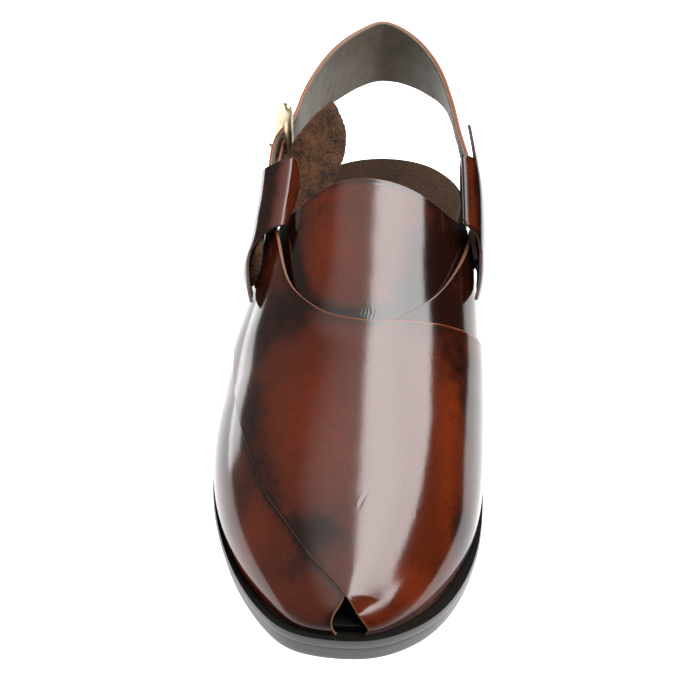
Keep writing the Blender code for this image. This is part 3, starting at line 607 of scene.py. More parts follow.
def fold_grid(start, table, turns, edge, side, depth=0):
    """Face of a folded loop at a depth under its outer face.

    A section's points are the running sums of cos and sin of its angle, out from the crest and
    down. The grid runs from the front or inner edge to the flap's lower edge, so past the mouth
    only the pointed flap is left. Also gives each point's distances along and from the crest.
    """
    table, turns, edge = np.array(table), np.array(turns), np.array(edge)
    even = np.linspace(table[0, 0], table[-1, 0], FOLD_ROWS)
    d = np.sort(np.concatenate([even, edge[1:-1, 0]]))
    columns = spline(table[:, 0], table[:, 1:], d)
    crest, size, tuck, tuck_from, low = np.moveaxis(columns, -1, 0)[..., None]
    first = np.interp(d, edge[:, 0], edge[:, 1])[:, None]
    d = d[:, None]
    w = first + (low - first) * np.linspace(0, 1, FOLD_COLS) ** FOLD_EASE
    angle = np.interp(FOLD_WALK / size, turns[:, 0], turns[:, 1])
    angle = np.radians(angle + tuck * smooth((FOLD_WALK - tuck_from) / TUCK_OVER))
    step = FOLD_WALK[1] - FOLD_WALK[0]
    at_crest = np.searchsorted(FOLD_WALK, 0)
    place = (w - FOLD_WALK[0]) / step
    before = np.floor(place).astype(int)
    part = place - before

    def read(values):
        here, after = (np.take_along_axis(values, before + k, 1) for k in range(2))
        return here * (1 - part) + after * part

    def walk(slope):
        total = np.cumsum(slope, axis=1) * step - 0.5 * step * slope
        return read(total - total[:, at_crest : at_crest + 1])

    turn = read(angle)
    out = walk(np.cos(angle)) - depth * np.sin(turn)
    drop = walk(np.sin(angle)) + depth * np.cos(turn)
    trim = FOLD_TRIM * smooth((w + 1) / TRIM_OVER) * np.clip(1 - d / TRIM_FADE, 0, 1)
    y = start[0] - (d + trim) * math.cos(FOLD_SLOPE) + drop * math.sin(FOLD_SLOPE)
    z = start[1] - (d + trim) * math.sin(FOLD_SLOPE) - drop * math.cos(FOLD_SLOPE)
    return np.stack([crest + side * out, y, z], axis=-1), np.broadcast_to(d, w.shape), w


def ruled_grid(table, rows, cols):
    """Grid ruled between two edge curves, both splined along their length."""
    table = np.array(table)
    length = lengths(table[:, :3])
    edges = spline(length, table, np.linspace(0, length[-1], rows))
    q = np.linspace(0, 1, cols)[None, :, None]
    return edges[:, None, :3] * (1 - q) + edges[:, None, 3:] * q


def grid_normals(grid):
    """Unit normals of a grid."""
    return unit(np.cross(np.gradient(grid, axis=0), np.gradient(grid, axis=1)))


def spots(table, x, y):
    """Sum of soft spots: each is its strength times a bell across and a bell along."""
    total = np.zeros_like(x)
    for at_x, at_y, wide, long, strength in table:
        total += strength * bell(x - at_x, wide) * bell(y - at_y, long)
    return total


def creases(table, x, y):
    """Depth of pressed creases: a trough across its heading, with a low ridge on each side."""
    total = np.zeros_like(x)
    for at_x, at_y, half, wide, angle, depth in table:
        c = math.cos(math.radians(angle))
        s = math.sin(math.radians(angle))
        along = ((x - at_x) * c + (y - at_y) * s) / half
        off = ((x - at_x) * -s + (y - at_y) * c) / wide
        total += depth * np.exp(-(along**4)) * (1 - off**2) * np.exp(-(off**2) / 2)
    return total


def ripple(x, y, scale, seed):
    """Smooth made-up unevenness between about -1 and 1: the mean of six sine waves.

    Each runs 2.4 radians further round than the last, and is 0.37 of the scale longer.
    """
    total = 0
    for k in range(6):
        angle = seed + 2.4 * k
        size = scale * (1 + 0.37 * k)
        total = total + np.sin((x * np.cos(angle) + y * np.sin(angle)) * 6.28 / size + seed * k)
    return total / 6


def near_line(rows, x, y, reach):
    """1 under a panel edge of (station, place) rows, falling off with the distance from it."""
    turn, place = edge_curve(rows, LINE_POINTS).T
    points = last_point(-LENGTH / 2 * np.cos(turn), place)
    away = np.hypot(x[..., None] - points[:, 0], y[..., None] - points[:, 1]).min(axis=-1)
    return bell(away, reach)


def near_edge(grid, reach):
    """1 at a grid's border, falling off with the distance from it in millimetres."""

    def away(axis):
        step = np.linalg.norm(np.diff(grid, axis=axis), axis=-1)
        pad = np.zeros_like(np.take(step, [0], axis=axis))
        walk = np.cumsum(np.concatenate([pad, step], axis=axis), axis=axis)
        return np.minimum(walk, np.take(walk, [-1], axis=axis) - walk)

    return bell(np.minimum(away(0), away(1)), reach)


def skin(outer, inner, shares, bulge, steps=5):
    """Closed sheet between two grids, with its rim rounded layer by layer.

    Each share of the thickness is one layer, as a number or as a grid of them. At an angle a
    from 0 to pi its rim is half an ellipse: the depth is middle - half * cos(a), and the inset
    is bulge * (1 - sin(a)). Gives the points, the faces, the grid point that each one belongs
    to, and two weights per point: 1 on the raw edge of the first layer, and 1 on every other
    layer and the back.
    """
    rows, cols = outer.shape[:2]
    count = rows * cols
    index = np.arange(count).reshape(rows, cols)
    rim = np.concatenate([index[0, :-1], index[:-1, -1], index[-1, :0:-1], index[:0:-1, 0]])
    i, j = np.divmod(rim, cols)
    inward = unit(outer[np.clip(i, 1, rows - 2), np.clip(j, 1, cols - 2)] - outer[i, j])
    through = (inner - outer)[i, j]
    rings = []
    low = 0
    for share in shares:
        share = np.broadcast_to(share, (rows, cols))[i, j]
        for a in np.pi * (np.arange(steps) + 0.5) / steps:
            depth = low + share * (0.5 - 0.5 * np.cos(a))
            inset = bulge * (1 - np.sin(a))
            rings.append(outer[i, j] + inward * inset + through * depth[:, None])
        low = low + share
    face = outer.reshape(-1, 3).copy()
    back = inner.reshape(-1, 3).copy()
    face[rim] += inward * bulge
    back[rim] += inward * bulge
    points = np.concatenate([face, *rings, back])
    below = count + len(rings) * len(rim)
    owner = np.concatenate([index.ravel(), np.tile(rim, len(rings)), index.ravel()])
    number = np.arange(len(points))
    lining = number >= count + steps * len(rim)
    edge = (number >= count) & ~lining
    top = np.stack([index[:-1, :-1], index[:-1, 1:], index[1:, 1:], index[1:, :-1]], axis=-1)
    top = top.reshape(-1, 4)
    loops = [rim, *np.arange(count, below).reshape(len(rings), len(rim)), rim + below]
    walls = [
        np.stack([np.roll(a, -1), a, b, np.roll(b, -1)], axis=-1)
        for a, b in zip(loops[:-1], loops[1:])
    ]
    faces = np.concatenate([top, *walls, top[:, ::-1] + below])
    return points, faces, owner, {"edge": edge, "lining": lining}


def stack(rings, caps):
    """Closed block of rings from the bottom up; caps are the faces of one ring's inside."""
    count = len(rings[0])
    here = np.arange(count)
    after = np.roll(here, -1)
    wall = np.stack([here, after, after + count, here + count], axis=-1)
    last = (len(rings) - 1) * count
    faces = np.concatenate([wall + low for low in range(0, last, count)]).tolist()
    faces += [face[::-1] for face in caps]
    faces += [[i + last for i in face] for face in caps]
    return np.concatenate(rings), faces


def strip_cap(count):
    """Cap of a ring whose first point is the toe: a strip that links each point to its pair."""
    half = count // 2
    faces = [[0, 1, count - 1]]
    faces += [[k, k + 1, count - k - 1, count - k] for k in range(1, half - 1)]
    return faces + [[half - 1, half, half + 1]]


def tube(path, across, third, sides, closed=False):
    """Tube round a path: each section is path + across * cos(a) + third * sin(a)."""
    a = (np.arange(sides) * 2 * np.pi / sides)[None, :, None]
    rows = len(path)
    grid = path[:, None] + across[:, None] * np.cos(a) + third[:, None] * np.sin(a)
    i = np.arange(rows if closed else rows - 1)[:, None]
    k = np.arange(sides)[None, :]
    here = i * sides + k
    after = i * sides + (k + 1) % sides
    ahead = (i + 1) % rows * sides
    faces = np.stack([here, after, ahead + (k + 1) % sides, ahead + k], axis=-1)
    faces = faces.reshape(-1, 4).tolist()
    if not closed:
        faces.append(list(range(sides))[::-1])
        faces.append(list(range((rows - 1) * sides, rows * sides)))
    return grid.reshape(-1, 3), faces


def put(name, points, faces, material, nodes, fields=None):
    """Makes a piece that rides on the shoe and stands for CAD nodes; fields are attributes."""
    mesh = bpy.data.meshes.new(name)
    faces = faces if isinstance(faces, list) else faces.tolist()
    mesh.from_pydata(((points + (CENTRE_X, 0, 0)) * MM).tolist(), [], faces)
    for key, values in (fields or {}).items():
        made = mesh.attributes.new(key, "FLOAT", "POINT")
        made.data.foreach_set("value", np.asarray(values, np.float32))
    bm = bmesh.new()
    bm.from_mesh(mesh)
    bmesh.ops.remove_doubles(bm, verts=bm.verts, dist=1e-7)
    bmesh.ops.recalc_face_normals(bm, faces=bm.faces)
    if bm.calc_volume(signed=True) < 0:
        bmesh.ops.reverse_faces(bm, faces=bm.faces)
    bm.to_mesh(mesh)
    bm.free()
    mesh.shade_smooth()
    mesh.set_sharp_from_angle(angle=math.radians(60))
    mesh.materials.append(material)
    piece = bpy.data.objects.new(name, mesh)
    bpy.context.scene.collection.objects.link(piece)
    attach(piece, "root")
    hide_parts(*nodes)


class Wire:
    """A socket of a material's nodes. Arithmetic on it adds Math nodes."""

    def __init__(self, tree, socket=None):
        self.tree = tree
        self.socket = socket

    def plug(self, target, value):
        """Links a socket to a wire, or sets its value; a colour comes without its alpha."""
        if isinstance(value, Wire):
            self.tree.links.new(value.socket, target)
        else:
            target.default_value = (*value, 1) if target.type == "RGBA" else value

    def node(self, kind, values=None, settings=None, output=0):
        """Adds a node: its settings come first, then the value or link of each socket."""
        made = self.tree.nodes.new(kind)
        for name, value in (settings or {}).items():
            setattr(made, name, value)
        for name, value in (values or {}).items():
            self.plug(made.inputs[name], value)
        return Wire(self.tree, made.outputs[output])

    def math(self, operation, *terms):
        """Adds a Math node on some terms."""
        return self.node("ShaderNodeMath", dict(enumerate(terms)), {"operation": operation})

    def __add__(self, other):
        return self.math("ADD", self, other)

    def __sub__(self, other):
        return self.math("SUBTRACT", self, other)

    def __rsub__(self, other):
        return self.math("SUBTRACT", other, self)

    def __mul__(self, other):
        return self.math("MULTIPLY", self, other)

    __radd__ = __add__
    __rmul__ = __mul__

    def step(self, low, high):
        """Rises smoothly from 0 at low to 1 at high."""
        values = {"Value": self, "From Min": low, "From Max": high}
        return self.node("ShaderNodeMapRange", values, {"interpolation_type": "SMOOTHSTEP"})

    def blend(self, start, end):
        """Colour between start and end by this factor."""
        values = {"Factor": self, 6: start, 7: end}
        return self.node("ShaderNodeMix", values, {"data_type": "RGBA"}, 2)


class Finish:
    """A material in the making: where its patterns are read, and its Principled shader."""

    def __init__(self, name, **constants):
        self.material = bpy.data.materials.new(name)
        self.material.use_nodes = True
        self.here = Wire(self.material.node_tree)
        self.sockets = self.here.tree.nodes["Principled BSDF"].inputs
        self.place = self.here.node("ShaderNodeTexCoord", output="Object")
        self.feed(**constants)

    def feed(self, **wires):
        """Links or sets the shader's sockets."""
        for name, value in wires.items():
            self.here.plug(self.sockets[name.replace("_", " ")], value)

    def field(self, name):
        """A piece's own attribute."""
        settings = {"attribute_name": name}
        return self.here.node("ShaderNodeAttribute", settings=settings, output="Fac")

    def along(self, axis):
        """One of the object's own coordinates, in metres."""
        return self.here.node("ShaderNodeSeparateXYZ", {"Vector": self.place}, output=axis)

    def noise(self, size, detail=2, rough=0.5, stretch=None):
        """Cloudy noise from 0 to 1 whose lumps are about size millimetres."""
        place = self.place
        if stretch:
            place = self.here.node("ShaderNodeMapping", {"Vector": place, "Scale": stretch})
        values = {"Vector": place, "Scale": 1 / (size * MM)}
        values |= {"Detail": detail, "Roughness": rough}
        return self.here.node("ShaderNodeTexNoise", values)

    def cells(self, size):
        """Distance to the nearest of scattered points about size millimetres apart, smoothed."""
        values = {"Vector": self.place, "Scale": 1 / (size * MM)}
        settings = {"feature": "SMOOTH_F1"}
        return self.here.node("ShaderNodeTexVoronoi", values, settings, "Distance")

    def bump(self, height, depth, under=None):
        """Normal of a relief of depth millimetres, over another relief's normal if given."""
        values = {"Strength": 1, "Distance": depth * MM, "Height": height}
        if under:
            values["Normal"] = under
        return self.here.node("ShaderNodeBump", values)


class ChappalLeather(bpy.types.PropertyGroup):
    """Colours and relief of the polished leather."""

    dye: FloatVectorProperty(
        name="Dye", description="Mid tone of the burnished leather", subtype="COLOR",
        default=(0.056, 0.0085, 0.0022), min=0.0, max=1.0,
    )
    # Ember is also the colour of the painted highlight along the over panel's edges.
    ember_and_highlight: FloatVectorProperty(
        name="Ember", description="Orange red where the dye is thin", subtype="COLOR",
        default=(0.100, 0.0140, 0.0030), min=0.0, max=1.0,
    )
    # This near black serves both for burnish and for painted shade.
    burnish_and_shade: FloatVectorProperty(
        name="Burnish", description="Near black where the leather is burnished", subtype="COLOR",
        default=(0.0075, 0.0019, 0.0012), min=0.0, max=1.0,
    )
    raw_edge: FloatVectorProperty(
        name="Raw edge", description="Waxed cut edge", subtype="COLOR",
        default=(0.21, 0.056, 0.014), min=0.0, max=1.0,
    )
    lining: FloatVectorProperty(
        name="Lining", description="Dark lining leather", subtype="COLOR",
        default=(0.095, 0.076, 0.052), min=0.0, max=1.0,
    )
    grain: FloatProperty(
        name="Grain", description="Depth of the grain, in millimetres",
        default=0.020, min=0.0, max=0.2,
    )
    edge_round: FloatProperty(
        name="Edge rounding", description="How far a cut edge is rounded, in millimetres",
        default=0.4, min=0.05, max=0.6,
    )


class ChappalTrim(bpy.types.PropertyGroup):
    """Colours of the sole, the insole, the suede and the buckle."""

    sole: FloatVectorProperty(
        name="Sole", description="Black of the sole's edge", subtype="COLOR",
        default=(0.022, 0.021, 0.019), min=0.0, max=1.0,
    )
    insole: FloatVectorProperty(
        name="Insole", description="Pebbled insole leather", subtype="COLOR",
        default=(0.023, 0.0115, 0.0060), min=0.0, max=1.0,
    )
    suede: FloatVectorProperty(
        name="Suede", description="Rough brown suede", subtype="COLOR",
        default=(0.064, 0.025, 0.009), min=0.0, max=1.0,
    )
    brass: FloatVectorProperty(
        name="Brass", description="Antique brass", subtype="COLOR",
        default=(0.50, 0.41, 0.27), min=0.0, max=1.0,
    )


class ChappalStage(bpy.types.PropertyGroup):
    """Camera and studio."""

    elevation: FloatProperty(
        name="Elevation", description="Camera's height angle over the shoe", subtype="ANGLE",
        default=math.radians(39), min=0.0, max=math.pi / 2,
    )
    distance: FloatProperty(
        name="Distance", description="From the camera to the middle of the shoe", unit="LENGTH",
        subtype="DISTANCE", default=1.4, min=0.5, max=5.0,
    )
    lens: FloatProperty(
        name="Lens", description="Focal length in millimetres",
        default=173.37, min=20.0, max=400.0,
    )
    key: FloatProperty(
        name="Key light", description="Power of the overhead softbox",
        subtype="POWER", unit="POWER", default=63.0, min=0.0, max=500.0,
    )
    side: FloatProperty(
        name="Side light", description="Power of the low softbox on the lateral side",
        subtype="POWER", unit="POWER", default=0.28, min=0.0, max=100.0,
    )


def polished_leather():
    """Burnished leather: dye broken up by clouds and pores, dark burnish and painted shade, raw
    edges, lining.
    """
    look = bpy.context.scene.chappal_leather
    f = Finish("burnished_leather", IOR=1.48, Coat_IOR=1.5, Coat_Roughness=0.20)
    edge = f.field("edge")
    lining = f.field("lining")
    wax_and_shade = f.field("wax_and_shade")
    cloud = f.noise(24, 3)
    mottle = f.noise(6, 5, 0.62)
    speck = f.noise(0.9, 3, 0.7)
    pores = f.noise(0.5, 2, 0.6)
    wrinkle = f.noise(2.4, 4, 0.6, stretch=(1, 0.55, 1))
    warm = (f.field("ember_and_highlight") + (cloud - 0.5) * 0.7 + (mottle - 0.5) * 0.3).step(0, 0.9)
    # This field holds real burnish and painted shade together.
    dark = (f.field("burnish_and_shade") + (mottle - 0.5) * 0.9 + (cloud - 0.5) * 0.5).step(0.05, 0.90)
    colour = warm.blend(look.dye, look.ember_and_highlight)
    colour = (speck.step(0.35, 0.75) * 0.40).blend(colour, look.burnish_and_shade)
    colour = dark.blend(colour, look.burnish_and_shade)
    raw = speck.step(0.3, 0.8).blend(look.raw_edge, 0.45 * look.raw_edge)
    colour = edge.blend(colour, wax_and_shade.blend(raw, 0.5 * look.dye))
    cloth = mottle.step(0.3, 0.8).blend(look.lining, 0.6 * look.lining)
    # The back goes toward near black as the wax field rises: painted shade inside the loops and
    # at the strap's end.
    colour = lining.blend(colour, wax_and_shade.blend(cloth, look.burnish_and_shade))
    shine = (1 - edge) * (1 - lining)
    grain = f.bump(0.6 * pores + 0.5 * speck + wrinkle, look.grain)
    roughness = 0.085 + 0.07 * mottle + 0.45 * edge + 0.50 * lining + 0.3 * wax_and_shade.step(0.86, 1)
    f.feed(Base_Color=colour, Roughness=roughness, Coat_Weight=0.12 * shine, Normal=grain)
    return f.material


def sole_black():
    """Black waxed edge with fine level lines, rougher on its top rim."""
    look = bpy.context.scene.chappal_trim
    f = Finish("black_edge", IOR=1.5)
    top = f.field("top")
    lines = f.noise(9, 3, 0.6, stretch=(0.35, 0.35, 16))
    lumps = f.noise(1.6, 3, 0.6)
    colour = lines.step(0.3, 0.8).blend(look.sole, 2.2 * look.sole)
    colour = top.blend(colour, (0.008, 0.0075, 0.007))
    relief = f.bump(lumps * top, 0.16, under=f.bump(lines, 0.10))
    f.feed(Base_Color=colour, Roughness=0.30 + 0.15 * lines - 0.12 * top, Normal=relief)
    return f.material


def insole_leather():
    """Dark brown pebbled leather, with painted shade making it nearly black under the toe."""
    look = bpy.context.scene.chappal_trim
    f = Finish("pebbled_leather", IOR=1.45, Specular_IOR_Level=0.08)
    pebble = f.cells(1.3)
    cloud = f.noise(14, 3)
    speck = f.noise(0.8)
    colour = cloud.step(0.3, 0.8).blend(look.insole, 1.5 * look.insole)
    colour = (pebble.step(0.2, 0.7) * 0.5).blend(colour, 0.4 * look.insole)
    # Painted shade: near black under the toe box, where the upper covers the insole.
    painted_toe_shade = 1 - f.along(1).step(-0.125, -0.105)
    colour = painted_toe_shade.blend(colour, (0.004, 0.0035, 0.003))
    f.feed(Base_Color=colour, Roughness=0.42 + 0.15 * speck, Normal=f.bump(1 - pebble, 0.22))
    return f.material


def rough_suede():
    """Suede with a coarse nap, and frayed fibres."""
    look = bpy.context.scene.chappal_trim
    sheen = {"Sheen_Weight": 0.06, "Sheen_Roughness": 0.5}
    f = Finish("brown_suede", IOR=1.4, Specular_IOR_Level=0.2, **sheen)
    nap = f.noise(1, 6, 0.85)
    tuft = f.noise(3.4, 4, 0.75)
    patch = f.noise(9, 3, 0.6)
    tone = (0.5 * nap + 0.32 * tuft + 0.18 * patch).step(0.40, 0.60)
    colour = tone.blend(0.12 * look.suede, 1.45 * look.suede)
    f.feed(Base_Color=colour, Roughness=0.92, Normal=f.bump(nap + 0.7 * tuft, 0.7))
    return f.material


def antique_brass():
    """Pale brass, a little tarnished."""
    look = bpy.context.scene.chappal_trim
    f = Finish("antique_brass", Metallic=1)
    tarnish = f.noise(3.5, 4, 0.6).step(0.45, 0.75)
    colour = (0.5 * tarnish).blend(look.brass, 0.45 * look.brass)
    f.feed(Base_Color=colour, Roughness=0.32 + 0.16 * tarnish, Normal=f.bump(f.noise(1.2), 0.01))
    return f.material


def leather_sheet(
    name, nodes, outer, inner, burnish_and_shade, ember_and_highlight, shares=(0.6, 0.4), bulge=None, wax_and_shade=0
):
    """Leather piece with burnish, ember and wax fields; wax darkens raw edge and back, partly as
    painted shade.
    """
    bulge = bulge or bpy.context.scene.chappal_leather.edge_round
    points, faces, owner, fields = skin(outer, inner, shares, bulge)
    for key, values in (("burnish_and_shade", burnish_and_shade), ("ember_and_highlight", ember_and_highlight), ("wax_and_shade", wax_and_shade)):
        fields[key] = np.broadcast_to(values, outer.shape[:2]).ravel()[owner]
    material = bpy.data.materials.get("burnished_leather") or polished_leather()
    put(name, points, faces, material, nodes, fields)


class CHAPPAL_OT_panels(bpy.types.Operator):
    """Makes the two crossing leather panels"""

    bl_idname = "chappal.panels"
    bl_label = "Panels"

    def execute(self, context):
        y, s = panel_field(UNDER_FRONT, UNDER_REAR, *UNDER_GRID)
        wave = WAVE_DEPTH * ripple(*plan_of(last_point(y, s, LEATHER)), WAVE_SIZE, 1)
        outer = on_sole(last_point(y, s, LEATHER - wave))
        inner = on_sole(last_point(y, s))
        plan = plan_of(outer)
        dark = spots(UNDER_BURNISH_AND_SHADE, *plan) + 0.45 * near_edge(outer, 3)
        # Painted shadow: darker along the over panel's front edge, where it shades the under
        # panel.
        dark = dark + 0.9 * near_line(OVER_FRONT, *plan, 2.6)
        ember_and_highlight = spots(UNDER_EMBER, *plan)
        leather_sheet("under_panel", ["upper"], outer, inner, dark, ember_and_highlight, (0.62, 0.38))

        y, s = panel_field(OVER_FRONT, OVER_REAR, *OVER_GRID)
        under = over_under(y, s)
        rise = LEATHER + PANEL_STEP * under
        back = BACK_LIFT * under
        plan = plan_of(last_point(y, s, rise))
        dip = creases(OVER_CREASES, *plan) + WAVE_DEPTH * ripple(*plan, WAVE_SIZE, 2)
        outer = on_sole(last_point(y, s, rise - dip))
        inner = on_sole(last_point(y, s, back))
        raw = np.clip(RAW_LAYER / (rise - back), 0, 0.97)
        plan = plan_of(outer)
        # Painted highlight: a thin lighter, warmer line along the over panel's edges, where the
        # rounded edge catches the light.
        line = near_edge(outer, 0.8)
        dark = spots(OVER_BURNISH_AND_SHADE, *plan) + 0.45 * near_edge(outer, 3) - 0.5 * line
        ember_and_highlight = spots(OVER_EMBER, *plan) + 0.6 * line
        leather_sheet("over_panel", ["upper"], outer, inner, dark, ember_and_highlight, (raw, 1 - raw))
        return {"FINISHED"}


class CHAPPAL_OT_tongue(bpy.types.Operator):
    """Makes the domed tongue with the fine wrinkles at its base"""

    bl_idname = "chappal.tongue"
    bl_label = "Tongue"

    def execute(self, context):
        rear = np.array(TONGUE_REAR)
        rows, cols = TONGUE_GRID
        u = np.linspace(0, 1, rows)[:, None]
        v = np.linspace(rear[0, 0], rear[-1, 0], cols)
        front = np.linspace(-TONGUE_FRONT_PLACE, TONGUE_FRONT_PLACE, cols)
        s = front + (v - front) * u
        y = TONGUE_FRONT + (spline(rear[:, 0], rear[:, 1], v) - TONGUE_FRONT) * u
        beside = smooth((np.abs(s) - 0.10) / 0.42)
        behind = smooth((y + 16) / 34)
        corner = smooth((s - 0.50) / 0.12)
        fall = np.where(s < 0, *TONGUE_FALL) * beside * behind * (1 - 0.9 * corner)
        plan = plan_of(last_point(y, s, -GAP - fall))
        x, station = plan
        fine = np.sin(x * 4.1 + 1.6 * np.sin(station * 0.9) + 0.7 * ripple(*plan, 3, 2))
        gather = np.exp(-(((x - 6) / 7) ** 4)) * bell(station + 9.5, 2.6)
        dip = creases(TONGUE_CREASES, *plan) + 0.045 * fine * gather
        dip = dip + 0.05 * ripple(*plan, 13, 4)
        outer = last_point(y, s, -GAP - fall - dip)
        inner = last_point(y, s, -GAP - fall - TONGUE_THICK)
        # Painted shade: darker within a few millimetres of the panels' rear edges, which shade
        # the tongue.
        shade = np.maximum(*(near_line(line, *plan, 6.5) for line in (OVER_REAR, UNDER_REAR)))
        dark = spots(TONGUE_BURNISH_AND_SHADE, *plan) + 0.3 * near_edge(outer, 2.5) + shade
        ember_and_highlight = spots(TONGUE_EMBER, *plan)
        leather_sheet("tongue_leather", ["tongue"], outer, inner, dark, ember_and_highlight, wax_and_shade=0.3)
        return {"FINISHED"}


class CHAPPAL_OT_loops(bpy.types.Operator):
    """Makes the folded loops at the sides"""

    bl_idname = "chappal.loops"
    bl_label = "Loops"

    def execute(self, context):
        lateral = (LATERAL_FOLD_START, LATERAL_FOLD, LATERAL_TURNS, LATERAL_FOLD_EDGE, -1)
        medial = (MEDIAL_FOLD_START, MEDIAL_FOLD, MEDIAL_TURNS, MEDIAL_FOLD_EDGE, 1)
        # Tone is how much darker the leather is toward the crest.
        for name, node, fold, tone in (
            ("lateral_fold", "lateral_loop", lateral, 0),
            ("medial_fold", "medial_loop", medial, 0.6),
        ):
            outer, d, w = fold_grid(*fold)
            ends = smooth((d - 4) / 8) * smooth((50 - d) / 8)
            welt = FOLD_WELT * bell(w[:, -1:] - w - WELT_UP, 2.6) * ends
            inner = fold_grid(*fold, FOLD_THICK + welt)[0]
            dark = 0.5 * near_edge(outer, 2.5) + 0.62 * smooth((w - 3) / 7)
            dark = dark + 0.3 * ripple(d, w, 9, 1) + 0.5 * bell(w - 7, 3)
            dark = dark + tone * smooth((4 - w) / 4)
            ember_and_highlight = 0.75 * smooth((2.5 - np.abs(w - 1)) / 5) + 0.9 * smooth((-w - 5) / 3)
            # Near 1 this paints the raw edges and back near black, partly black lining and partly
            # painted shade inside the loop; at the crest it also roughens the leather.
            wax_and_shade = 0.8 + 0.2 * bell(w - 0.6, 1.4)
            shares = (0.55, 0.45)
            leather_sheet(name, [node], outer, inner, dark, ember_and_highlight, shares, FOLD_ROUND, wax_and_shade)
        return {"FINISHED"}


class CHAPPAL_OT_heel_strap(bpy.types.Operator):
    """Makes the heel strap with its wrinkled lining"""

    bl_idname = "chappal.heel_strap"
    bl_label = "Heel strap"

    def execute(self, context):
        rows, cols = STRAP_GRID
        outer = ruled_grid(STRAP, rows, cols)
        along = np.linspace(0, 1, rows)[:, None]
        across = np.linspace(0, 1, cols)[None, :]
        sway = across * 9 * np.sin(along * 5) + 2 * np.sin(along * 61)
        folds = np.sin(along * 260 + sway) * smooth(across / 0.15)
        folds = folds * (0.5 + 0.5 * np.sin(along * 43 + across * 4))
        lumps = ripple(along * 300, across * 18 + along * 90, 6, 8)
        thick = STRAP_THICK + 0.05 * folds + 0.12 * lumps
        inner = outer - grid_normals(outer) * thick[..., None]
        dark = 0.35 + 0.35 * near_edge(outer, 2) + 0.2 * np.sin(along * 17)
        ember_and_highlight = 0.4 + 0.3 * np.sin(along * 23 + 2)
        # Painted shade: the raw edge and back of the strap's tip inside the medial loop go near
        # black.
        end = smooth((along - 0.965) / 0.01)
        name = "heel_strap_leather"
        leather_sheet(name, ["heel_strap"], outer, inner, dark, ember_and_highlight, wax_and_shade=end)
        return {"FINISHED"}


def squared(wave):
    """A wave between -1 and 1 as one between 0 and 1 with square shoulders."""
    return 0.5 + 0.5 * np.sign(wave) * np.abs(wave) ** FRAME_SQUARE


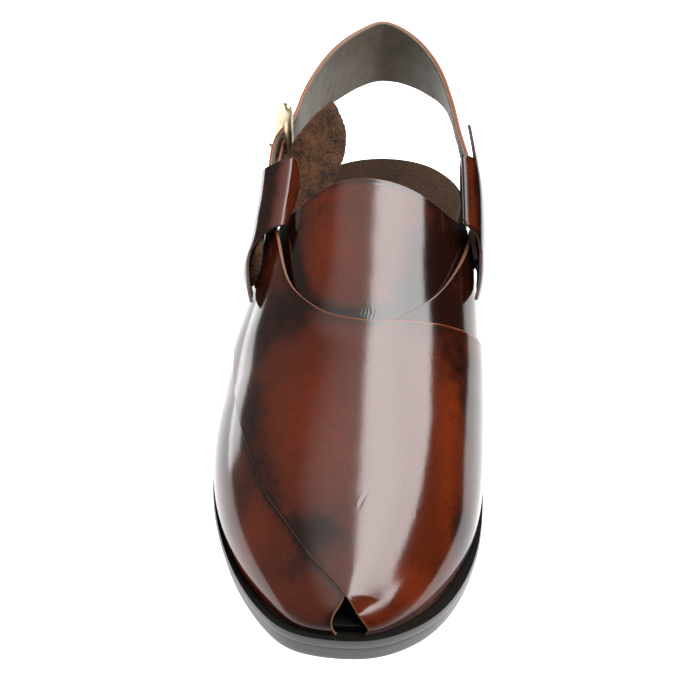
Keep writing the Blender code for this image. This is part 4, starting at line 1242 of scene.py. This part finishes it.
class CHAPPAL_OT_buckle(bpy.types.Operator):
    """Makes the buckle, its prong, the billet that holds it and the suede guard behind it"""

    bl_idname = "chappal.buckle"
    bl_label = "Buckle"

    def execute(self, context):
        brass = antique_brass()
        near = np.array(NEAR_BAR)
        far = np.array(FAR_BAR)
        a = np.arange(220) * 2 * np.pi / 220
        across, level = squared(np.cos(a)), squared(np.sin(a))
        plan = near + (far - near) * across[:, None]
        plan[:, 0] += FAR_LEAN * across * (level - 0.5)
        height = BUCKLE_LOW + (BUCKLE_TOP - FAR_DROP * across - BUCKLE_LOW) * level
        path = np.column_stack([plan, height])
        ahead = unit(np.roll(path, -1, axis=0) - np.roll(path, 1, axis=0))
        flat = unit(np.array([*(far - near), 0]))
        out = np.cross(flat, (0, 0, 1))
        strip = (across * smooth((level - 0.35) / 0.25))[:, None]
        wide = unit(np.cross(ahead, out)) * BAR_RADIUS * (1 + STRIP_WIDER * strip)
        thin = out * BAR_RADIUS * (1 - FAR_THINNER * across[:, None] - STRIP_THINNER * strip)
        points, faces = tube(path - flat * STRIP_OUT * strip, wide, thin, 28, closed=True)
        put("buckle_frame", points, faces, brass, ["buckle"])

        hook = BAR_RADIUS + GAP + PRONG_RADIUS
        ahead = unit(far - near)
        out = np.array([-ahead[1], ahead[0]])
        tip = far + out * (hook + GAP) + ahead * PRONG_PAST
        a = np.radians(np.linspace(*PRONG_HOOK, 60))[:, None]
        plan = near + hook * (np.cos(a) * -ahead + np.sin(a) * -out)
        leg = plan[-1] + (tip - plan[-1]) * np.linspace(0.05, 1, 20)[:, None]
        plan = np.concatenate([plan, leg])
        path = np.column_stack([plan, np.full(len(plan), PRONG_Z)])
        up = np.broadcast_to([0, 0, 1], path.shape)
        thick = PRONG_RADIUS * np.minimum(1, 0.35 + np.arange(len(path))[::-1] / 4)[:, None]
        points, faces = tube(path, np.cross(heading(path), up) * thick, up * thick, 20)
        put("buckle_pin", points, faces, brass, ["buckle_prong"])

        round_bar = BAR_RADIUS + GAP + BILLET_THICK / 2
        a = np.radians(np.linspace(*BILLET_BEND, 40))
        bend = near + round_bar * np.column_stack([np.cos(a), np.sin(a)])
        plan = np.concatenate([BILLET_INNER_LEG, bend, BILLET_OUTER_LEG])
        sink = np.minimum(plan[:, 1] - near[1] + BILLET_SINK, 0) * math.tan(FOLD_SLOPE)
        z = np.linspace(*BILLET_Z, 12) + sink[:, None]
        middle = np.stack(np.broadcast_arrays(plan[:, :1], plan[:, 1:], z), axis=-1)
        half = grid_normals(middle) * BILLET_THICK / 2
        sides = (middle + half, middle - half)
        leather_sheet("billet_leather", ["buckle_billet"], *sides, 0.5, 0.15, (1,), 0.25)

        suede = rough_suede()
        knots = np.arange(len(FRAYED_END))
        path = spline(knots, FRAYED_END, np.linspace(0, knots[-1], 60))
        ahead = heading(path)
        across = np.cross(ahead, (0, 1, 0))
        swell = 0.25 + np.sin(np.linspace(0, np.pi, 60)[:, None]) ** 0.5
        wide = across * FRAYED_SIZE[0] * swell
        deep = np.cross(ahead, across) * FRAYED_SIZE[1] * swell
        points, faces = tube(path, wide, deep, 40)
        x, y, z = points.T
        fuzz = ripple(y * 1.7, z * 1.7 + x, 1.5, 2) + ripple(y, z + x, 3.5, 6)
        points = points + np.array([0.5, 0.4, 0.3]) * fuzz[:, None]
        put("frayed_end", points, faces, suede, ["buckle_guard"])

        face = ruled_grid(GUARD, *GUARD_GRID)
        y, z = face[..., 1], face[..., 2]
        rough = ripple(y * 1.3, z, 2.3, 3) + ripple(y, z, 1.1, 5)
        fray = near_edge(face, 0.8) * ripple(y * 2, z * 2, 1.7, 7)
        normals = grid_normals(face)
        face = face - normals * (0.10 * rough)[..., None]
        face = face + np.array([0.25, 0.2, 0.25]) * fray[..., None]
        points, faces = skin(face, face + normals * GUARD_THICK, (1,), GUARD_ROUND)[:2]
        put("suede_guard", points, faces, suede, ["buckle_guard"])
        return {"FINISHED"}


class CHAPPAL_OT_sole(bpy.types.Operator):
    """Makes the outsole, the heel block and the insole"""

    bl_idname = "chappal.sole"
    bl_label = "Sole"

    def execute(self, context):
        black = sole_black()
        count = 480
        turns = ring_turns(count)
        broad = sum(
            wide * bell(turns - at, BROAD_OVER) for wide, at in zip(TOE_BROAD, BROAD_TURNS)
        )
        rings = []
        for inset, share in SOLE_SIDE:
            ring = outline_point(turns, inset - broad)
            top = sole_top(ring[:, 1])
            drop = TOE_DROP * smooth((DROP_START - ring[:, 1]) / DROP_LENGTH)
            low = sole_bottom(ring[:, 1]) - drop
            lip = RIM_LIP * (share > 0.85) * bell(inset - LIP_INSET, LIP_REACH)
            rings.append(np.column_stack([ring, low + (top - low) * share + lip]))
        points, faces = stack(rings, strip_cap(count))
        rim = np.repeat([share > 0.95 for _, share in SOLE_SIDE], count)
        put("sole_leather", points, faces, black, ["outsole"], {"top": rim})

        count = 161
        reach = turn_of(HEEL_BREAST)
        turns = signed_turns(np.linspace(reach, 2 * np.pi - reach, count))
        across = np.linspace(0, 1, 42)[1:-1, None]
        rings = []
        for inset, share in HEEL_SIDE:
            ring = outline_point(turns, inset)
            front = ring[-1] + (ring[0] - ring[-1]) * across
            front[:, 1] += BREAST_CURVE * np.sin(np.pi * across[:, 0])
            front[:, 1] += BREAST_SLOPE * (inset - HEEL_SIDE[-2][0])
            ring = np.concatenate([ring, front])
            rings.append(np.column_stack([ring, (sole_bottom(ring[:, 1]) - GAP) * share]))
        last = count - 1
        half = last // 2
        cap = [[half, half + 1, half - 1]]
        cap += [[k, k + 1, last - 1 - k, last - k] for k in range(half - 1)]
        cap.append([0, *range(last, len(rings[0]))])
        points, faces = stack(rings, cap)
        put("heel_stack", points, faces, black, ["heel"], {"top": np.zeros(len(points))})

        count = 360
        turns = ring_turns(count)
        inside = feather_inset(turns) + INSOLE_CLEAR
        inset = INSOLE_HEEL + (inside - INSOLE_HEEL) * smooth((2.5 - np.abs(turns)) / 0.6)
        rings = []
        for more, up in INSOLE_SIDE:
            ring = outline_point(turns, inset + more)
            rings.append(np.column_stack([ring, sole_top(ring[:, 1]) + GAP + up]))
        points, faces = stack(rings, strip_cap(count))
        put("insole_board", points, faces, insole_leather(), ["insole"])
        return {"FINISHED"}


def aim(thing, place, target):
    """Puts a light or a camera at a place, looking at a target."""
    thing.location = place
    thing.rotation_euler = (Vector(target) - Vector(place)).to_track_quat("-Z", "Y").to_euler()


def area_light(name, place, target, size, power):
    """A rectangular softbox that the camera doesn't see."""
    light = bpy.data.lights.new(name, "AREA")
    light.shape = "RECTANGLE"
    light.size, light.size_y = size
    light.energy = power
    thing = bpy.data.objects.new(name, light)
    bpy.context.scene.collection.objects.link(thing)
    thing.visible_camera = False
    aim(thing, place, target)


class CHAPPAL_OT_stage(bpy.types.Operator):
    """Sets the floor, the studio lights and the camera"""

    bl_idname = "chappal.stage"
    bl_label = "Studio"

    def execute(self, context):
        scene = context.scene
        look = scene.chappal_stage
        scene.view_settings.view_transform = "Standard"

        mesh = bpy.data.meshes.new("floor")
        corners = [(FLOOR_HALF * i, FLOOR_HALF * j, FLOOR_Z) for i, j in FLOOR_CORNERS]
        mesh.from_pydata(corners, [], [(0, 1, 2, 3)])
        floor = bpy.data.objects.new("floor", mesh)
        scene.collection.objects.link(floor)
        paper = Finish("white_paper", Roughness=0.9, Specular_IOR_Level=0.1, **PAPER)
        mesh.materials.append(paper.material)

        area_light("side_softbox", *SIDE_LIGHT, look.side)
        area_light("key_softbox", *KEY_LIGHT, look.key)

        world = bpy.data.worlds.new("studio")
        scene.world = world
        world.use_nodes = True
        sky = Wire(world.node_tree)
        ray = sky.node("ShaderNodeTexCoord", output="Generated")
        x, y, z = (sky.node("ShaderNodeSeparateXYZ", {"Vector": ray}, output=k) for k in range(3))
        outer = 1 - x.step(-0.6, -0.1)
        front = 1 - y.step(-0.45, 0)
        low = 1 - z.step(0, 0.40)
        halo = z.step(0.84, 0.98)
        level = 0.02 + 0.28 * outer + low * front + 1.4 * halo
        seen = sky.node("ShaderNodeLightPath", output="Is Camera Ray")
        backdrop = world.node_tree.nodes["Background"].inputs
        sky.plug(backdrop["Color"], SKY_COLOUR)
        sky.plug(backdrop["Strength"], level + seen * (1 - level))

        camera = bpy.data.objects.new("camera", bpy.data.cameras.new("camera"))
        scene.collection.objects.link(camera)
        camera.data.sensor_width = SENSOR
        camera.data.lens = look.lens
        target = np.array(TARGET)
        back = np.array([0, -math.cos(look.elevation), math.sin(look.elevation)])
        aim(camera, target + back * look.distance, target)
        scene.camera = camera
        return {"FINISHED"}


PIECES = (
    CHAPPAL_OT_sole,
    CHAPPAL_OT_tongue,
    CHAPPAL_OT_panels,
    CHAPPAL_OT_loops,
    CHAPPAL_OT_heel_strap,
    CHAPPAL_OT_buckle,
    CHAPPAL_OT_stage,
)
GROUPS = {
    "chappal_leather": ChappalLeather,
    "chappal_trim": ChappalTrim,
    "chappal_stage": ChappalStage,
}


class CHAPPAL_PT_panel(bpy.types.Panel):
    """Sidebar panel with the pieces and their settings"""

    bl_idname = "CHAPPAL_PT_panel"
    bl_label = "Chappal"
    bl_space_type = "VIEW_3D"
    bl_region_type = "UI"
    bl_category = "Chappal"

    def draw(self, context):
        for piece in PIECES:
            self.layout.operator(piece.bl_idname)
        for key in GROUPS:
            group = getattr(context.scene, key)
            for name in group.bl_rna.properties.keys():
                if name not in ("rna_type", "name"):
                    self.layout.prop(group, name)


CLASSES = (*GROUPS.values(), *PIECES, CHAPPAL_PT_panel)


def register():
    """Registers the classes and the settings."""
    for item in CLASSES:
        bpy.utils.register_class(item)
    for key, group in GROUPS.items():
        setattr(bpy.types.Scene, key, PointerProperty(type=group))


def unregister():
    """Takes the classes and the settings away."""
    for key in GROUPS:
        delattr(bpy.types.Scene, key)
    for item in reversed(CLASSES):
        bpy.utils.unregister_class(item)


def main():
    """Makes every piece and the studio."""
    register()
    for piece in PIECES:
        group, name = piece.bl_idname.split(".")
        getattr(getattr(bpy.ops, group), name)()


if __name__ == "__main__":
    main()
